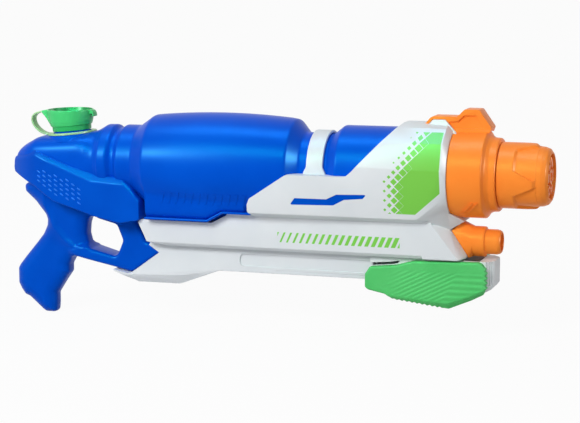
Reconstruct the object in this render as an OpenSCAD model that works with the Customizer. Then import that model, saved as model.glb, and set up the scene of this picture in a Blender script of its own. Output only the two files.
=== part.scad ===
// Large pump-action water squirter, drawn as it comes apart on a bench.
// Millimetres. X runs forward to the nozzle, Y across, Z up.
// The origin is the centre of the flat foot under the grip.
// Outlines are drawn about the barrel axis, so their heights are below it
// when negative, and on_axis() lifts them to their place above the foot.

/* [Layout] */
// Height of the barrel axis above the grip foot
grip_drop = 193; // [185:1:203]
// Foot centre forward to the first tank rib
rib_x = 80; // [76:1:86]
// Depth of the pump axis below the barrel axis
pump_drop = 80; // [78:0.5:84]
// Depth of the small front nozzle below the barrel axis
front_cap_drop = 78; // [76:0.5:79]

/* [Tank] */
// Largest radius of the tank's barrel
tank_r = 62; // [59:0.5:64]
// Radius where the barrel meets its shoulders
barrel_end_r = 57.5; // [55:0.5:58.5]
// Length of the barrel between its shoulders
barrel_len = 176; // [168:1:184]
// Radius of the two rear ribs
rib_r = 44; // [42:0.5:46]
// Depth of the groove between the ribs
rib_groove = 4.5; // [3:0.5:6]
// Radius of the waist under the strap
waist_r = 41.5; // [39:0.5:44]
// Length of the waist
waist_len = 32; // [28:1:38]
// Radius of the tank's front end
front_r = 52; // [50:0.5:53]
// Wall of the blown tank
tank_wall = 2; // [1.6:0.2:3.2]
// Length of the tank's rear end, from its tip to the first rib
rear_len = 120; // [116:1:126]
// Half width of the sump under the barrel
sump_w = 35; // [30:0.5:35.5]

/* [Filler] */
// Distance of the filler neck behind the first rib
neck_back = 50; // [46:1:54]
// Outside radius of the filler neck
neck_r = 19; // [17:0.5:20]
// Bore radius of the filler neck
neck_bore_r = 16; // [14:0.5:17]
// Height of the filler neck above its seat
neck_h = 17.5; // [14:0.5:20]
// Radius of the tether ring and of its seat
ring_r = 28; // [27:0.5:30]
// Thickness of the tether ring
ring_t = 2.7; // [2:0.1:3.5]
// Radius of the cap's upper rim
cap_rim_r = 27.5; // [26.5:0.5:29]
// Width of the tether strap
strap_w = 12; // [8:1:16]

/* [Grip] */
// Width across the grip
grip_w = 38; // [34:1:44]
// Width across the rear cheeks
cheek_w = 88; // [86:1:92]
// Length of the flat foot
foot_len = 14; // [12:1:18]
// Wall of the grip halves
grip_wall = 2.6; // [2:0.2:3.2]
// Rounding of the grip's edges
grip_edge = 6; // [3:0.5:8]

/* [Front shell] */
// Wall of the shell round the pump
shell_wall = 2.5; // [2:0.1:3]
// Width across the shell round the pump
band_w = 74; // [72:1:80]
// Half width of the shell's side ridge at the nozzle end
ridge_w = 58; // [57:0.5:61]
// Depth of the coloured inlay's pocket
inlay_t = 3; // [2:0.2:4]
// Thickness of the tank strap
tank_strap_t = 3.4; // [2.5:0.1:4.5]
// Width of the tank strap along the barrel
tank_strap_w = 20; // [14:1:26]

/* [Pump] */
// Travel of the pump handle
stroke = 125; // [115:1:135]
// Outside radius of the pump cylinder
cyl_r = 13; // [12:0.25:13.5]
// Wall of the pump cylinder
cyl_wall = 1.8; // [1.4:0.1:2.4]
// Radius of the piston rod
rod_r = 5; // [4:0.25:6]
// Height of the rail that the handle slides along
rail_h = 29.5; // [27:0.5:32]
// Width across the rail
rail_w = 44; // [40:1:48]
// Wall of the handle's core beside the rail
core_wall = 2.9; // [2.4:0.1:4]
// Thickness of each grip pad
pad_t = 7.5; // [6:0.5:10]
// Half width of the web between handle and rod
web_w = 4.5; // [3.5:0.25:5.5]

/* [Nozzle] */
// Radius of the nozzle collar
collar_r = 50.5; // [50:0.5:52]
// Length of the nozzle collar
collar_len = 57; // [54:1:62]
// Radius of the selector's body
selector_r = 38; // [36.5:0.5:39.5]
// Length of the selector
selector_len = 55; // [52:0.5:58]
// Radius of the plain rim at the selector's front
rim_r = 34; // [32:0.5:35]
// Length of that rim
rim_len = 8; // [6:0.5:10]
// Radius of the recess in the selector's face
face_r = 25.5; // [23:0.5:27]
// Radius of the axle that the selector turns on
axle_r = 8; // [7:0.5:9]
// Distance of the water outlets from the axis
outlet_ring_r = 18; // [17.5:0.5:19]
// Radius of the small front nozzle's body
front_cap_r = 17.5; // [16:0.5:18.5]

/* [Hidden] */
$fn = 64;

// Colours
blue = [0.02, 0.30, 0.80];
white = [0.87, 0.89, 0.91];
orange = [1.00, 0.48, 0.15];
green = [0.30, 0.74, 0.40];
clear_green = [0.28, 0.78, 0.42];
inner_grey = [0.55, 0.57, 0.60];
rubber = [0.12, 0.12, 0.13];
steel = [0.70, 0.71, 0.73];

// Clearances
fit = 0.1;
seat = 0.3;
tank_gap = 0.4;
slide_gap = 0.6;
cap_gap = 0.5;
shaft_gap = 0.08;
big = 400;

// Stations along the barrel
rib_w = 10;
groove_w = 13;
rib2_w = 19;
rear_shoulder = 21;
front_shoulder = 15;
front_rise = 14;
nose_x = rib_x - rear_len;
rib2_x = rib_x + rib_w + groove_w;
barrel_x = rib2_x + rib2_w + rear_shoulder;
barrel_end = barrel_x + barrel_len;
waist_x = barrel_end + front_shoulder;
front_x = waist_x + waist_len + front_rise;

// Stations along the pump
spigot_len = 4;
piston_len = 14;
piston_room = 7;
stop_t = 3;
bush_len = 13;
flange_t = 4;
link_len = 35;
link_room = 6;
cyl_x = barrel_x + 25;
cyl_len = spigot_len + piston_room + piston_len + stroke + stop_t + 1 + bush_len;
cyl_end = cyl_x + cyl_len;
bush_x = cyl_end - bush_len;
piston_x = bush_x - stop_t - 1 - piston_len;
link_x = cyl_end + flange_t + link_room + stroke;
link_end = link_x + link_len;
collar_x = link_end + 5;
tank_end = collar_x - 18;
selector_x = collar_x + collar_len + 0.5;
tip_x = selector_x + selector_len;

// Heights of the shell and the pump, from the barrel axis
floor_gap = 1;
band_low = -(pump_drop + cyl_r + floor_gap + shell_wall);
band_floor = band_low + shell_wall;
band_top = -(pump_drop - cyl_r - floor_gap);
fork_low = -55;
band_top_front = fork_low - 1;
rail_low = band_low - rail_h;
core_floor = rail_low - 2.5;
core_top = band_low - 1.5;
pump_z = -pump_drop;
half_band = band_w / 2;
half_rail = rail_w / 2;
core_in = half_rail + slide_gap;
half_core = core_in + core_wall;
half_pump = half_core + pad_t;
pipe_r = 4;
pipe_bore = 2.8;
pipe_y = outlet_ring_r;
pipe_z = pump_z - 5;
cyl_bore = cyl_r - cyl_wall;

// Filler neck: the rear end's upper line rises to the front, and the neck is square to it
nose_top = 29;
cone_top = 36;
cone_x0 = nose_x + 33;
cone_x1 = rib_x - 12;
cone_lap = 7;
cone_sink = 1.5;
neck_x = rib_x - neck_back;
neck_lean = atan((cone_top - nose_top) / (cone_x1 - cone_x0));
neck_z = nose_top + (neck_x - cone_x0) * tan(neck_lean);
ring_seat_h = 0.3;
ring_z = ring_seat_h + seat;
cap_z = ring_z + ring_t + cap_gap;
cap_inner_z = neck_h + 1.6;
cap_top_z = cap_inner_z + 3.4;
cap_rim_z = cap_top_z + 7.5;

// Screws: shank, pilot, clearance and head
screw_r = 1.25;
pilot_r = 1.3;
screw_hole_r = 1.7;
head_r = 3.2;
head_hole_r = 3.6;
head_h = 2.2;
head_y = 8;
screw_depth = 9;
boss_r = 5.2;
grip_screw_at = [[-14, -grip_drop + 43], [20, -92], [barrel_x - 25, -110], [rib_x + 20, -57], [-4, -52]];
shell_screw_at = [[waist_x + 16, -49], [collar_x - 70, -61.5], [collar_x - 30, -61.5]];

// Places a shape drawn about the barrel axis
module on_axis() {
    translate([0, 0, grip_drop]) children();
}

// Places a shape drawn about the filler neck
module on_neck() {
    on_axis() translate([neck_x, 0, neck_z]) rotate([0, -neck_lean, 0]) children();
}

// A side outline in X and Z, from y0 to y1
module plate(outline, y0, y1) {
    translate([0, y1, 0]) rotate([90, 0, 0]) linear_extrude(y1 - y0) polygon(outline);
}

// A cross outline in Y and Z, from x0 over a length
module rail_section(outline, x0, len) {
    translate([x0, 0, 0]) rotate([90, 0, 90]) linear_extrude(len) polygon(outline);
}

// A solid turned about the barrel axis, from its outline in X and radius
module turned(outline) {
    rotate([0, 90, 0]) rotate_extrude() polygon([for (p = outline) [p[1], p[0]]]);
}

// A round bar along X
module bar_x(x0, x1, r, z = 0, y = 0) {
    translate([x0, y, z]) rotate([0, 90, 0]) cylinder(r = r, h = x1 - x0);
}

// A round bar along Y
module bar_y(x, z, y0, y1, r) {
    translate([x, y1, z]) rotate([90, 0, 0]) cylinder(r = r, h = y1 - y0);
}

// Unit normal, to the left of the edge from a to b
function left_normal(a, b) = let (d = b - a) [-d[1], d[0]] / norm(d);

// An outline that runs anticlockwise, drawn in by d with square corners
function drawn_in(o, d) = [
    for (i = [0 : len(o) - 1])
        let (
            n = len(o),
            n1 = left_normal(o[(i + n - 1) % n], o[i]),
            n2 = left_normal(o[i], o[(i + 1) % n])
        )
        o[i] + d * (n1 + n2) / (1 + n1 * n2)
];

// Twice the signed area of a triangle
function turn_of(a, b, c) = (b[0] - a[0]) * (c[1] - a[1]) - (b[1] - a[1]) * (c[0] - a[0]);

function in_triangle(p, a, b, c) = turn_of(a, b, p) >= 0 && turn_of(b, c, p) >= 0 && turn_of(c, a, p) >= 0;

// True where corner k of an outline can be cut off as a triangle
function is_ear(o, ids, k) =
    let (n = len(ids), a = o[ids[(k + n - 1) % n]], b = o[ids[k]], c = o[ids[(k + 1) % n]])
    turn_of(a, b, c) > 0
    && len([for (j = ids) if (o[j] != a && o[j] != b && o[j] != c && in_triangle(o[j], a, b, c)) j]) == 0;

function first_ear(o, ids, k = 0) = k >= len(ids) - 1 || is_ear(o, ids, k) ? k : first_ear(o, ids, k + 1);

// An anticlockwise outline cut into triangles, one corner at a time
function triangles(o, ids) =
    len(ids) == 3 ? [ids] :
    let (n = len(ids), k = first_ear(o, ids))
    concat(
        [[ids[(k + n - 1) % n], ids[k], ids[(k + 1) % n]]],
        triangles(o, [for (i = [0 : n - 1]) if (i != k) ids[i]])
    );

// A thick outline from y0 to y1 with its outer edge rounded off in two steps
module soft_plate(outline, y0, y1, edge) {
    n = len(outline);
    ids = [for (i = [0 : n - 1]) i];
    levels = [[y0, 0], [y1 - edge, 0], [y1 - 0.4 * edge, 0.3 * edge], [y1, edge]];
    rings = [for (l = levels) drawn_in(outline, l[1])];
    points = [for (k = [0 : 3]) for (p = rings[k]) [p[0], levels[k][0], p[1]]];
    sides = [
        for (k = [0 : 2]) for (i = [0 : n - 1])
            [k * n + i, k * n + (i + 1) % n, (k + 1) * n + (i + 1) % n, (k + 1) * n + i]
    ];
    inner_cap = [for (t = triangles(rings[0], ids)) [t[2], t[1], t[0]]];
    outer_cap = [for (t = triangles(rings[3], ids)) [for (i = t) 3 * n + i]];
    polyhedron(points, concat(inner_cap, sides, outer_cap));
}

// A screw along Y, its head outwards on the left side
module side_screw(x, z) {
    bar_y(x, z, head_y - screw_depth * 2, head_y, screw_r);
    difference() {
        bar_y(x, z, head_y, head_y + head_h, head_r);
        for (turn = [0, 90])
            translate([x, head_y + head_h, z]) rotate([0, turn, 0]) cube([3.6, 1.6, 0.8], center = true);
    }
}

// The hole for a screw: a pilot on the right half, a clear hole and head well on the left
module screw_hole(x, z, left) {
    if (left) {
        bar_y(x, z, -1, big, screw_hole_r);
        bar_y(x, z, head_y, big, head_hole_r);
    } else {
        bar_y(x, z, -1, screw_depth + 2, pilot_r);
    }
}

// Radius of the barrel's crown at a station
function crown(x) =
    let (u = (x - barrel_x - barrel_len / 2) / (barrel_len / 2))
    tank_r - (tank_r - barrel_end_r) * u * u;

crown_steps = 12;

// Outline of the turned tank, grown outwards, from the rear cone to its front end
function tank_outline(grow) = concat(
    [[cone_x1 - 2, 0], [cone_x1 - 2, cone_top - cone_sink + grow], [rib_x, rib_r + grow],
     [rib_x + rib_w, rib_r + grow],
     [rib_x + rib_w + 4, rib_r - rib_groove + grow], [rib2_x - 5, rib_r - rib_groove + grow],
     [rib2_x, rib_r + grow], [rib2_x + rib2_w, rib_r + grow]],
    [for (i = [0 : crown_steps])
        let (x = barrel_x + i * barrel_len / crown_steps) [x, crown(x) + grow]],
    [[waist_x, waist_r + grow], [waist_x + waist_len, waist_r + grow], [front_x, front_r + grow],
     [tank_end + max(grow, 0), front_r + grow], [tank_end + max(grow, 0), 0]]
);

// One cross section of the rear end: station, half width, half height, centre height
rear_sections = [
    [nose_x, cheek_w / 2 - 28, 7, -6],
    [nose_x + 10, cheek_w / 2 - 17, 18, -2.5],
    [cone_x0, cheek_w / 2 - 6, nose_top, 0],
    [cone_x1 + cone_lap, cheek_w / 2 - 4, cone_top + cone_lap * tan(neck_lean), 0]
];

module tank_rear(grow) {
    hull()
        for (s = rear_sections)
            translate([s[0] + (s[0] == nose_x ? -grow : s[0] > cone_x1 ? min(grow, 0) : 0), 0, s[3]])
                rotate([90, 0, 90])
                    linear_extrude(0.02)
                        scale([s[1] + grow, s[2] + grow]) circle(r = 1, $fn = 40);
}

// Outline of the sump that fills the gap between the round barrel and the shell below it
sump_low = band_top + 0.2;
sump_step = band_top_front + 0.2;
step_x = barrel_x + 81;
step_len = 19;
function sump_outline(grow) = [
    [barrel_x + 6 - grow, -30], [barrel_x + 6 - grow, sump_low - grow],
    [step_x + 0.5 + grow / 2, sump_low - grow], [step_x + step_len + 0.5 + grow / 2, sump_step - grow],
    [barrel_end - 22 + grow, sump_step - grow], [barrel_end - 22 + grow, -30]
];

outlet_x = barrel_x + 17;
outlet_r = 5;
outlet_bore = 3;
outlet_low = sump_low - 6;

// The tank's outer form, grown for the shells that close round it
module tank_form(grow) {
    tank_rear(grow);
    turned(tank_outline(grow));
    plate(sump_outline(grow), -sump_w - grow, sump_w + grow);
}

module tank() {
    color(blue) {
        difference() {
            union() {
                on_axis() tank_form(0);
                on_axis() translate([outlet_x, 0, outlet_low])
                    cylinder(r = outlet_r, h = sump_low - outlet_low + 1);
                on_neck() translate([0, 0, -14]) cylinder(r = ring_r + 0.5, h = 14 + ring_seat_h);
                on_neck() translate([0, 0, -1]) cylinder(r = neck_r, h = neck_h + 1);
            }
            on_axis() {
                tank_rear(-tank_wall);
                turned([for (p = tank_outline(-tank_wall)) [min(p[0], tank_end - tank_wall), max(p[1], 0)]]);
                plate(sump_outline(-tank_wall), -sump_w + tank_wall, sump_w - tank_wall);
                translate([outlet_x, 0, outlet_low - 1]) cylinder(r = outlet_bore, h = 20);
            }
            on_neck() translate([0, 0, -20]) cylinder(r = neck_bore_r, h = 20 + neck_h + 1);
        }
    }
}

gasket_low = sump_low - 1.5;
gasket_r = 7.5;

module tank_gasket() {
    color(rubber) on_axis()
        translate([outlet_x, 0, gasket_low]) difference() {
            cylinder(r = gasket_r, h = 1.4);
            translate([0, 0, -1]) cylinder(r = outlet_r + fit, h = 4);
        }
}

// Strap over the waist, its feet on the shell's shoulders
strap_low = -2;
strap_x = waist_x + 9;

module tank_strap() {
    color(white) on_axis()
        intersection() {
            difference() {
                bar_x(strap_x, strap_x + tank_strap_w, waist_r + tank_gap + tank_strap_t);
                bar_x(strap_x - 1, strap_x + tank_strap_w + 1, waist_r + tank_gap);
            }
            translate([strap_x - 1, -big / 2, strap_low]) cube([tank_strap_w + 2, big, big]);
        }
}

// Side outline of the rear cheeks, anticlockwise
cheek_front = barrel_x - 9;
cheek_outline = [
    [nose_x, -12], [nose_x + 2, -17], [nose_x + 6, -22], [-21, -28.5], [-5, -33], [21, -49],
    [59, -60], [78, -66],
    [cheek_front - 25, -72], [cheek_front, band_top + seat], [cheek_front, -40], [cheek_front - 11, -33],
    [cheek_front - 20, -24], [rib_x - 8, -22], [-3, 12], [nose_x + 10, 5], [nose_x, 1]
];
// Plan of a cheek: it keeps a skin outside the tank's rear end
cheek_skin = 3;
cheek_side = cheek_w / 2 + 2;
cheek_plan = concat(
    [[nose_x - 1, -3], [cheek_front + 1, -3], [cheek_front + 1, cheek_side], [cone_x1 - 10, cheek_side]],
    [for (i = [2, 1, 0]) [rear_sections[i][0] - (i == 0 ? 1 : 0), rear_sections[i][1] + cheek_skin]]
);

// Side outline of the grip and finger guard, anticlockwise from the foot
guard_tip = barrel_x + 4;
grip_outline = [
    [-foot_len / 2, -grip_drop], [foot_len / 2, -grip_drop], [8, -grip_drop + 12], [8, -grip_drop + 24],
    [18, -grip_drop + 40], [26, -grip_drop + 52], [26, -grip_drop + 61], [31, -121], [37, -118.5],
    [87, -129.5],
    [guard_tip - 37, -134], [guard_tip - 33, -133], [guard_tip, -110], [guard_tip - 7, -100],
    [guard_tip - 16, -98], [guard_tip - 28, -74], [guard_tip - 26, -56], [60, -40], [-14, -22],
    [-31, -33], [-30, -42], [-17, -55], [-4, -70], [-2, -76], [-3, -83], [-9, -95], [-17, -105],
    [-33, -124], [-41, -grip_drop + 59], [-44, -grip_drop + 54], [-44, -grip_drop + 35],
    [-40, -grip_drop + 27], [-35, -grip_drop + 20], [-29, -grip_drop + 18], [-11, -grip_drop + 2.5]
];
finger_outline = [
    [58, -108.5], [guard_tip - 58, -116.5], [guard_tip - 53, -114], [guard_tip - 46, -97],
    [guard_tip - 54, -77.5], [63, -70], [54, -70.5], [51, -80], [50, -92], [53, -103]
];

// Tongue at the grip's front, that plugs into the open rear end of the front shell
tongue_x = cheek_front - 16;
tongue_len = 29;
tongue_h = 16;
tongue_low = pump_z - 8;
function tongue_outline(grow) = [
    [tongue_x, tongue_low - grow], [tongue_x + tongue_len, tongue_low - grow],
    [tongue_x + tongue_len, tongue_low + tongue_h + grow], [tongue_x, tongue_low + tongue_h + grow]
];

module grip_half(left) {
    half = grip_w / 2;
    half_cheek = cheek_w / 2;
    on_axis() {
        difference() {
            union() {
                soft_plate(grip_outline, 0, half, grip_edge);
                intersection() {
                    soft_plate(cheek_outline, 0, half_cheek, 5);
                    linear_extrude(2 * big, center = true) polygon(cheek_plan);
                }
            }
            difference() {
                union() {
                    soft_plate(drawn_in(grip_outline, grip_wall), -1, half - grip_wall, grip_edge);
                    intersection() {
                        soft_plate(drawn_in(cheek_outline, grip_wall), -1, half_cheek - grip_wall, 5);
                        linear_extrude(2 * big, center = true) polygon(drawn_in(cheek_plan, grip_wall));
                    }
                }
                plate(drawn_in(finger_outline, -grip_wall), -2, big);
                for (s = grip_screw_at) bar_y(s[0], s[1], -2, big, boss_r);
            }
            tank_form(tank_gap);
            plate(finger_outline, -2, big);
            for (s = grip_screw_at) screw_hole(s[0], s[1], left);
        }
        plate(tongue_outline(0), 0, half_band - shell_wall - seat);
    }
}

module grip_right() {
    color(blue) mirror([0, 1, 0]) grip_half(false);
}

module grip_left() {
    color(blue) grip_half(true);
}

// Cross outlines of the fork that holds the tank's front, half width and height
function fork_rear_section() = [
    [0, fork_low], [42, fork_low], [ridge_w - 2, fork_low + 6], [ridge_w + 6.5, 11.5], [0, 11.5]
];
function fork_section() = [
    [0, fork_low], [38, fork_low], [ridge_w - 8, fork_low + 6], [ridge_w, 11.5], [ridge_w - 9, 38.5],
    [30, 54], [12, 58], [0, 58]
];
function chin_section() = [
    [0, -52], [30, -50], [ridge_w - 8, -26], [ridge_w - 1, 8], [ridge_w - 10, 38], [29, 53.5],
    [11, 57], [0, 57]
];
ring_wall_r = collar_r + 3;
function front_section() = [for (a = [-90 : 11.25 : 90]) ring_wall_r * [cos(a), sin(a)]];

module fork_form(inset) {
    hull() {
        rail_section(drawn_in(fork_rear_section(), inset), waist_x - 59, 0.02);
        rail_section(drawn_in(fork_section(), inset), waist_x + 66, collar_x - waist_x - 100);
        rail_section(drawn_in(chin_section(), inset), collar_x - 5, 0.02);
        rail_section(drawn_in(front_section(), inset), collar_x - 0.02, 0.02);
    }
}

fork_outline = [
    [waist_x - 59, -39], [waist_x - 59, -47], [waist_x - 54, fork_low - 1], [collar_x + 1, fork_low - 1],
    [collar_x + 1, 64], [waist_x + 123, 64], [waist_x + 68, 5], [waist_x + 60, -2], [waist_x - 11, -2],
    [waist_x - 56, -32]
];
slit_outline = [
    [waist_x - 7, -37], [waist_x + 45, -36], [waist_x + 58, -29], [waist_x + 80, -27], [waist_x + 85, -22],
    [waist_x + 49, -23], [waist_x + 37, -29], [waist_x - 1, -29]
];

// Side outline of the shell round the pump
band_x = barrel_x - 13;
band_front = collar_x - 19;
band_front_low = collar_x + 13;
band_outline = [
    [band_x, band_top - 3], [band_x + 11, band_low + 4.5], [band_x + 35, band_low],
    [band_front_low, band_low],
    [band_front, band_top_front], [band_front, fork_low + 2], [step_x + step_len, fork_low + 2],
    [step_x + step_len, band_top_front], [step_x, band_top], [band_x + 4, band_top]
];
band_section = [
    [-1, band_low], [half_band - 4, band_low], [half_band, band_low + 4], [half_band, fork_low + 3],
    [-1, fork_low + 3]
];
cavity_outline = [
    [band_x + 1, band_top - 2], [band_x + 13, band_low + 6.5], [band_x + 34, band_floor],
    [band_front_low - 14, band_floor], [band_front - 4, band_top_front - 2],
    [step_x + step_len, band_top_front - 2],
    [step_x + 2, band_top - 2]
];

// Slope of the shell's front end, where the small front nozzle seats
wedge_slope = 2 / 3;
function wedge_x(z) = collar_x - 5 + (band_top_front - 1 - z) * wedge_slope;

module wedge() {
    hull() {
        plate([[band_front - 11, band_top_front], [band_front, band_top_front], [band_front_low, band_low],
               [band_front - 11, band_low]], 0, half_band - 0.1);
        plate([[band_front - 11, band_top_front - 1], [wedge_x(band_top_front - 1), band_top_front - 1],
               [wedge_x(band_low + 3), band_low + 3], [wedge_x(band_low + 3) - 2, band_low],
               [band_front - 11, band_low]], 0, 20);
    }
}

plug_r = 12.8;
slot_w = web_w + 0.6;
slot_x = band_x + 50;
rib_at = [cyl_x + 30, cyl_end - 28];
rib_t = 3;
fork_rib_at = [waist_x + 34, waist_x + 104];
slit_rim = 3;

// The hollow inside the fork's wall, short of its front ring, with bosses and ribs left standing
module fork_hollow() {
    difference() {
        intersection() {
            fork_form(shell_wall);
            plate(drawn_in(fork_outline, shell_wall), -1, big);
            translate([0, -big, -big]) cube([collar_x - 9, 2 * big, 2 * big]);
        }
        for (s = shell_screw_at) bar_y(s[0], s[1], -2, big, boss_r);
        for (x = fork_rib_at) translate([x, -2, -big / 2]) cube([rib_t, big, big]);
        plate(drawn_in(slit_outline, -slit_rim), 20, big);
    }
}

module shell_half(left) {
    on_axis() {
        difference() {
            union() {
                intersection() {
                    fork_form(0);
                    plate(fork_outline, -1, big);
                }
                intersection() {
                    plate(band_outline, 0, half_band);
                    rail_section(band_section, band_x - 1, big);
                }
                wedge();
            }
            tank_form(tank_gap);
            bar_x(tank_end - 1, collar_x + 1, collar_r - 0.4);
            difference() {
                plate(cavity_outline, -1, half_band - shell_wall);
                for (s = shell_screw_at) bar_y(s[0], s[1], -2, big, boss_r);
                for (x = rib_at) translate([x, -2, band_low]) cube([rib_t, big, 60]);
            }
            fork_hollow();
            plate(tongue_outline(seat), -1, half_band - shell_wall);
            translate([outlet_x, 0, gasket_low - 4]) cylinder(r = gasket_r + seat, h = 10);
            translate([block_x - 1, -1, pump_z])
                cube([cyl_x - block_x + 1, block_w + 1 + seat, gasket_low - pump_z]);
            bar_x(cyl_x, cyl_end + 1, cyl_r + fit, pump_z);
            if (left) {
                bar_x(cyl_x, riser_x + 1, pipe_r + seat, pipe_z, pipe_y);
                translate([riser_x, pipe_y, pipe_z]) cylinder(r = pipe_r + seat, h = pump_drop);
            }
            plate([[slot_x, band_low - 1], [link_end + 3, band_low - 1], [link_end + 3, band_floor + 1],
                   [slot_x, band_floor + 1]], -1, slot_w);
            bar_x(band_front - 8, collar_x + 40, plug_r + fit, -front_cap_drop);
            difference() {
                plate(slit_outline, 20, big);
                fork_form(inlay_t + 0.2);
            }
            for (s = shell_screw_at) screw_hole(s[0], s[1], left);
        }
    }
}

module shell_right() {
    color(white) mirror([0, 1, 0]) shell_half(false);
}

module shell_left() {
    color(white) shell_half(true);
}

module inlay_half() {
    on_axis()
        difference() {
            intersection() {
                plate(drawn_in(slit_outline, fit), 20, big);
                fork_form(0.6);
            }
            fork_form(inlay_t + 0.1);
        }
}

module inlay_right() {
    color(blue) mirror([0, 1, 0]) inlay_half();
}

module inlay_left() {
    color(blue) inlay_half();
}

// Keel and rail under the shell, slotted where the handle's web runs
rail_x = band_x + 98;
rail_end = link_x - 52;
keel_low = rail_low - 20;
rail_outline = [
    [90, -133], [guard_tip - 29, keel_low + 2], [guard_tip - 25, keel_low], [rail_x - 54, keel_low],
    [rail_x - 47, keel_low + 2], [rail_x, rail_low], [rail_end, rail_low], [rail_end, band_low],
    [band_x + 32, band_low], [guard_tip + 3, -109], [guard_tip - 33, -134.5],
    [guard_tip - 38, -135.5], [90, -131.5]
];
rail_groove = 1.5;
groove_top = band_low - 7.5;
groove_low = rail_low + 6.5;
rail_wall = 2.6;
// Hollow beside the slot, open at the top under the shell
rail_hollow = [
    [guard_tip - 16, keel_low + rail_wall], [rail_x - 52, keel_low + rail_wall],
    [rail_x - 2, rail_low + rail_wall], [rail_end - rail_wall, rail_low + rail_wall],
    [rail_end - rail_wall, band_low + 1], [guard_tip + 20, band_low + 1], [guard_tip + 6, -112]
];

module pump_rail() {
    color(white) on_axis()
        difference() {
            union() {
                plate(rail_outline, -half_rail, half_rail);
                plate([[slot_x + 1, band_low - 1], [cyl_end, band_low - 1], [cyl_end, band_floor],
                       [slot_x + 1, band_floor]], -web_w, web_w);
            }
            for (side = [-1, 1])
                translate([rail_x + 30, side * half_rail - rail_groove, groove_low])
                    cube([rail_end - rail_x, 2 * rail_groove, groove_top - groove_low]);
            plate([[link_x - stroke - 5, rail_low - 1], [rail_end + 1, rail_low - 1],
                   [rail_end + 1, band_floor + 1], [link_x - stroke - 5, band_floor + 1]], -slot_w, slot_w);
            for (side = [-1, 1])
                mirror([0, side < 0 ? 1 : 0, 0])
                    plate(rail_hollow, slot_w + rail_wall, half_rail - rail_groove - rail_wall);
        }
}

module pump_cylinder() {
    color(inner_grey) on_axis()
        difference() {
            bar_x(cyl_x, cyl_end, cyl_r, pump_z);
            bar_x(cyl_x - 1, cyl_end + 1, cyl_bore, pump_z);
        }
}

seal_w = 2.4;
seal_x = bush_x + 4;

module cylinder_bush() {
    color(inner_grey) on_axis()
        difference() {
            union() {
                bar_x(bush_x, cyl_end, cyl_bore - fit, pump_z);
                bar_x(cyl_end, cyl_end + flange_t, cyl_r, pump_z);
            }
            bar_x(bush_x - 1, cyl_end + flange_t + 1, rod_r + shaft_gap, pump_z);
            bar_x(seal_x, seal_x + seal_w, rod_r + 2.3, pump_z);
        }
}

module rod_seal() {
    color(rubber) on_axis()
        difference() {
            bar_x(seal_x + fit, seal_x + seal_w - fit, rod_r + 2.2, pump_z);
            bar_x(seal_x - 1, seal_x + seal_w + 1, rod_r + shaft_gap, pump_z);
        }
}

module stop_washer() {
    color(rubber) on_axis()
        difference() {
            bar_x(bush_x - stop_t, bush_x, cyl_bore - fit, pump_z);
            bar_x(bush_x - stop_t - 1, bush_x + 1, rod_r + seat, pump_z);
        }
}

// Valve block: end plug of the cylinder, with the inlet above and the outlet lug beside it
block_x = barrel_x + 5;
block_w = 13.5;
lug_r = 5.4;
block_drop = 10;
socket_x = block_x + 11;
valve_t = 2;

module valve_block() {
    color(inner_grey) on_axis()
        difference() {
            union() {
                translate([block_x, -block_w, pump_z - block_drop])
                    cube([cyl_x - block_x - fit, 2 * block_w, gasket_low - 0.1 - pump_z + block_drop]);
                bar_x(block_x, cyl_x, lug_r, pipe_z, pipe_y);
                translate([block_x, 0, pipe_z - lug_r]) cube([cyl_x - block_x - fit, pipe_y, 2 * lug_r]);
                bar_x(cyl_x - 1, cyl_x + spigot_len, cyl_bore - fit, pump_z);
            }
            translate([outlet_x, 0, outlet_low - 0.5]) cylinder(r = outlet_r + fit, h = 20);
            translate([outlet_x, 0, pump_z + 4.5]) cylinder(r = outlet_bore, h = 20);
            bar_x(outlet_x, cyl_x + spigot_len + 1, 2, pump_z + 4.5);
            bar_x(cyl_x - 6, cyl_x + spigot_len + 1, 1.45, pump_z);
            bar_x(block_x + 4, cyl_x + spigot_len + 1, 2.5, pump_z - 5, 5);
            translate([block_x + 6.5, 5, pump_z - 5.5]) rotate([-90, 0, 0])
                cylinder(r = 2.4, h = pipe_y - 5);
            bar_x(block_x + 6.5, socket_x, 2.4, pipe_z, pipe_y);
            bar_x(socket_x, cyl_x + 1, pipe_r + 0.05, pipe_z, pipe_y);
        }
}

module inlet_valve() {
    color(rubber) on_axis() {
        bar_x(cyl_x + spigot_len + fit, cyl_x + spigot_len + 1.3, 7, pump_z);
        bar_x(cyl_x - 5, cyl_x + spigot_len + 0.5, 1.4, pump_z);
    }
}

module outlet_valve() {
    color(rubber) on_axis()
        difference() {
            bar_x(socket_x + 0.05, socket_x + valve_t, pipe_r, pipe_z, pipe_y);
            bar_x(socket_x - 1, socket_x + valve_t + 1, 1.2, pipe_z, pipe_y);
        }
}

// Outlet pipe: along the cylinder, up in front of the tank, forward into the manifold
bend_r = 10;
riser_x = collar_x - 10;
manifold_x = collar_x + 10;

module pipe_run(r) {
    bar_x(socket_x + valve_t + 0.05, riser_x - bend_r, r, pipe_z, pipe_y);
    translate([riser_x, pipe_y, pipe_z + bend_r]) cylinder(r = r, h = -pipe_z - 2 * bend_r);
    bar_x(riser_x + bend_r, manifold_x + 3.95, r, 0, pipe_y);
    translate([riser_x - bend_r, pipe_y, pipe_z + bend_r]) rotate([90, 0, 0])
        rotate([0, 0, -90]) rotate_extrude(angle = 90) translate([bend_r, 0]) circle(r = r);
    translate([riser_x + bend_r, pipe_y, -bend_r]) rotate([90, 0, 0])
        rotate([0, 0, 90]) rotate_extrude(angle = 90) translate([bend_r, 0]) circle(r = r);
}

module outlet_pipe() {
    color(inner_grey) on_axis()
        difference() {
            pipe_run(pipe_r);
            pipe_run(pipe_bore);
        }
}

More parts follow.
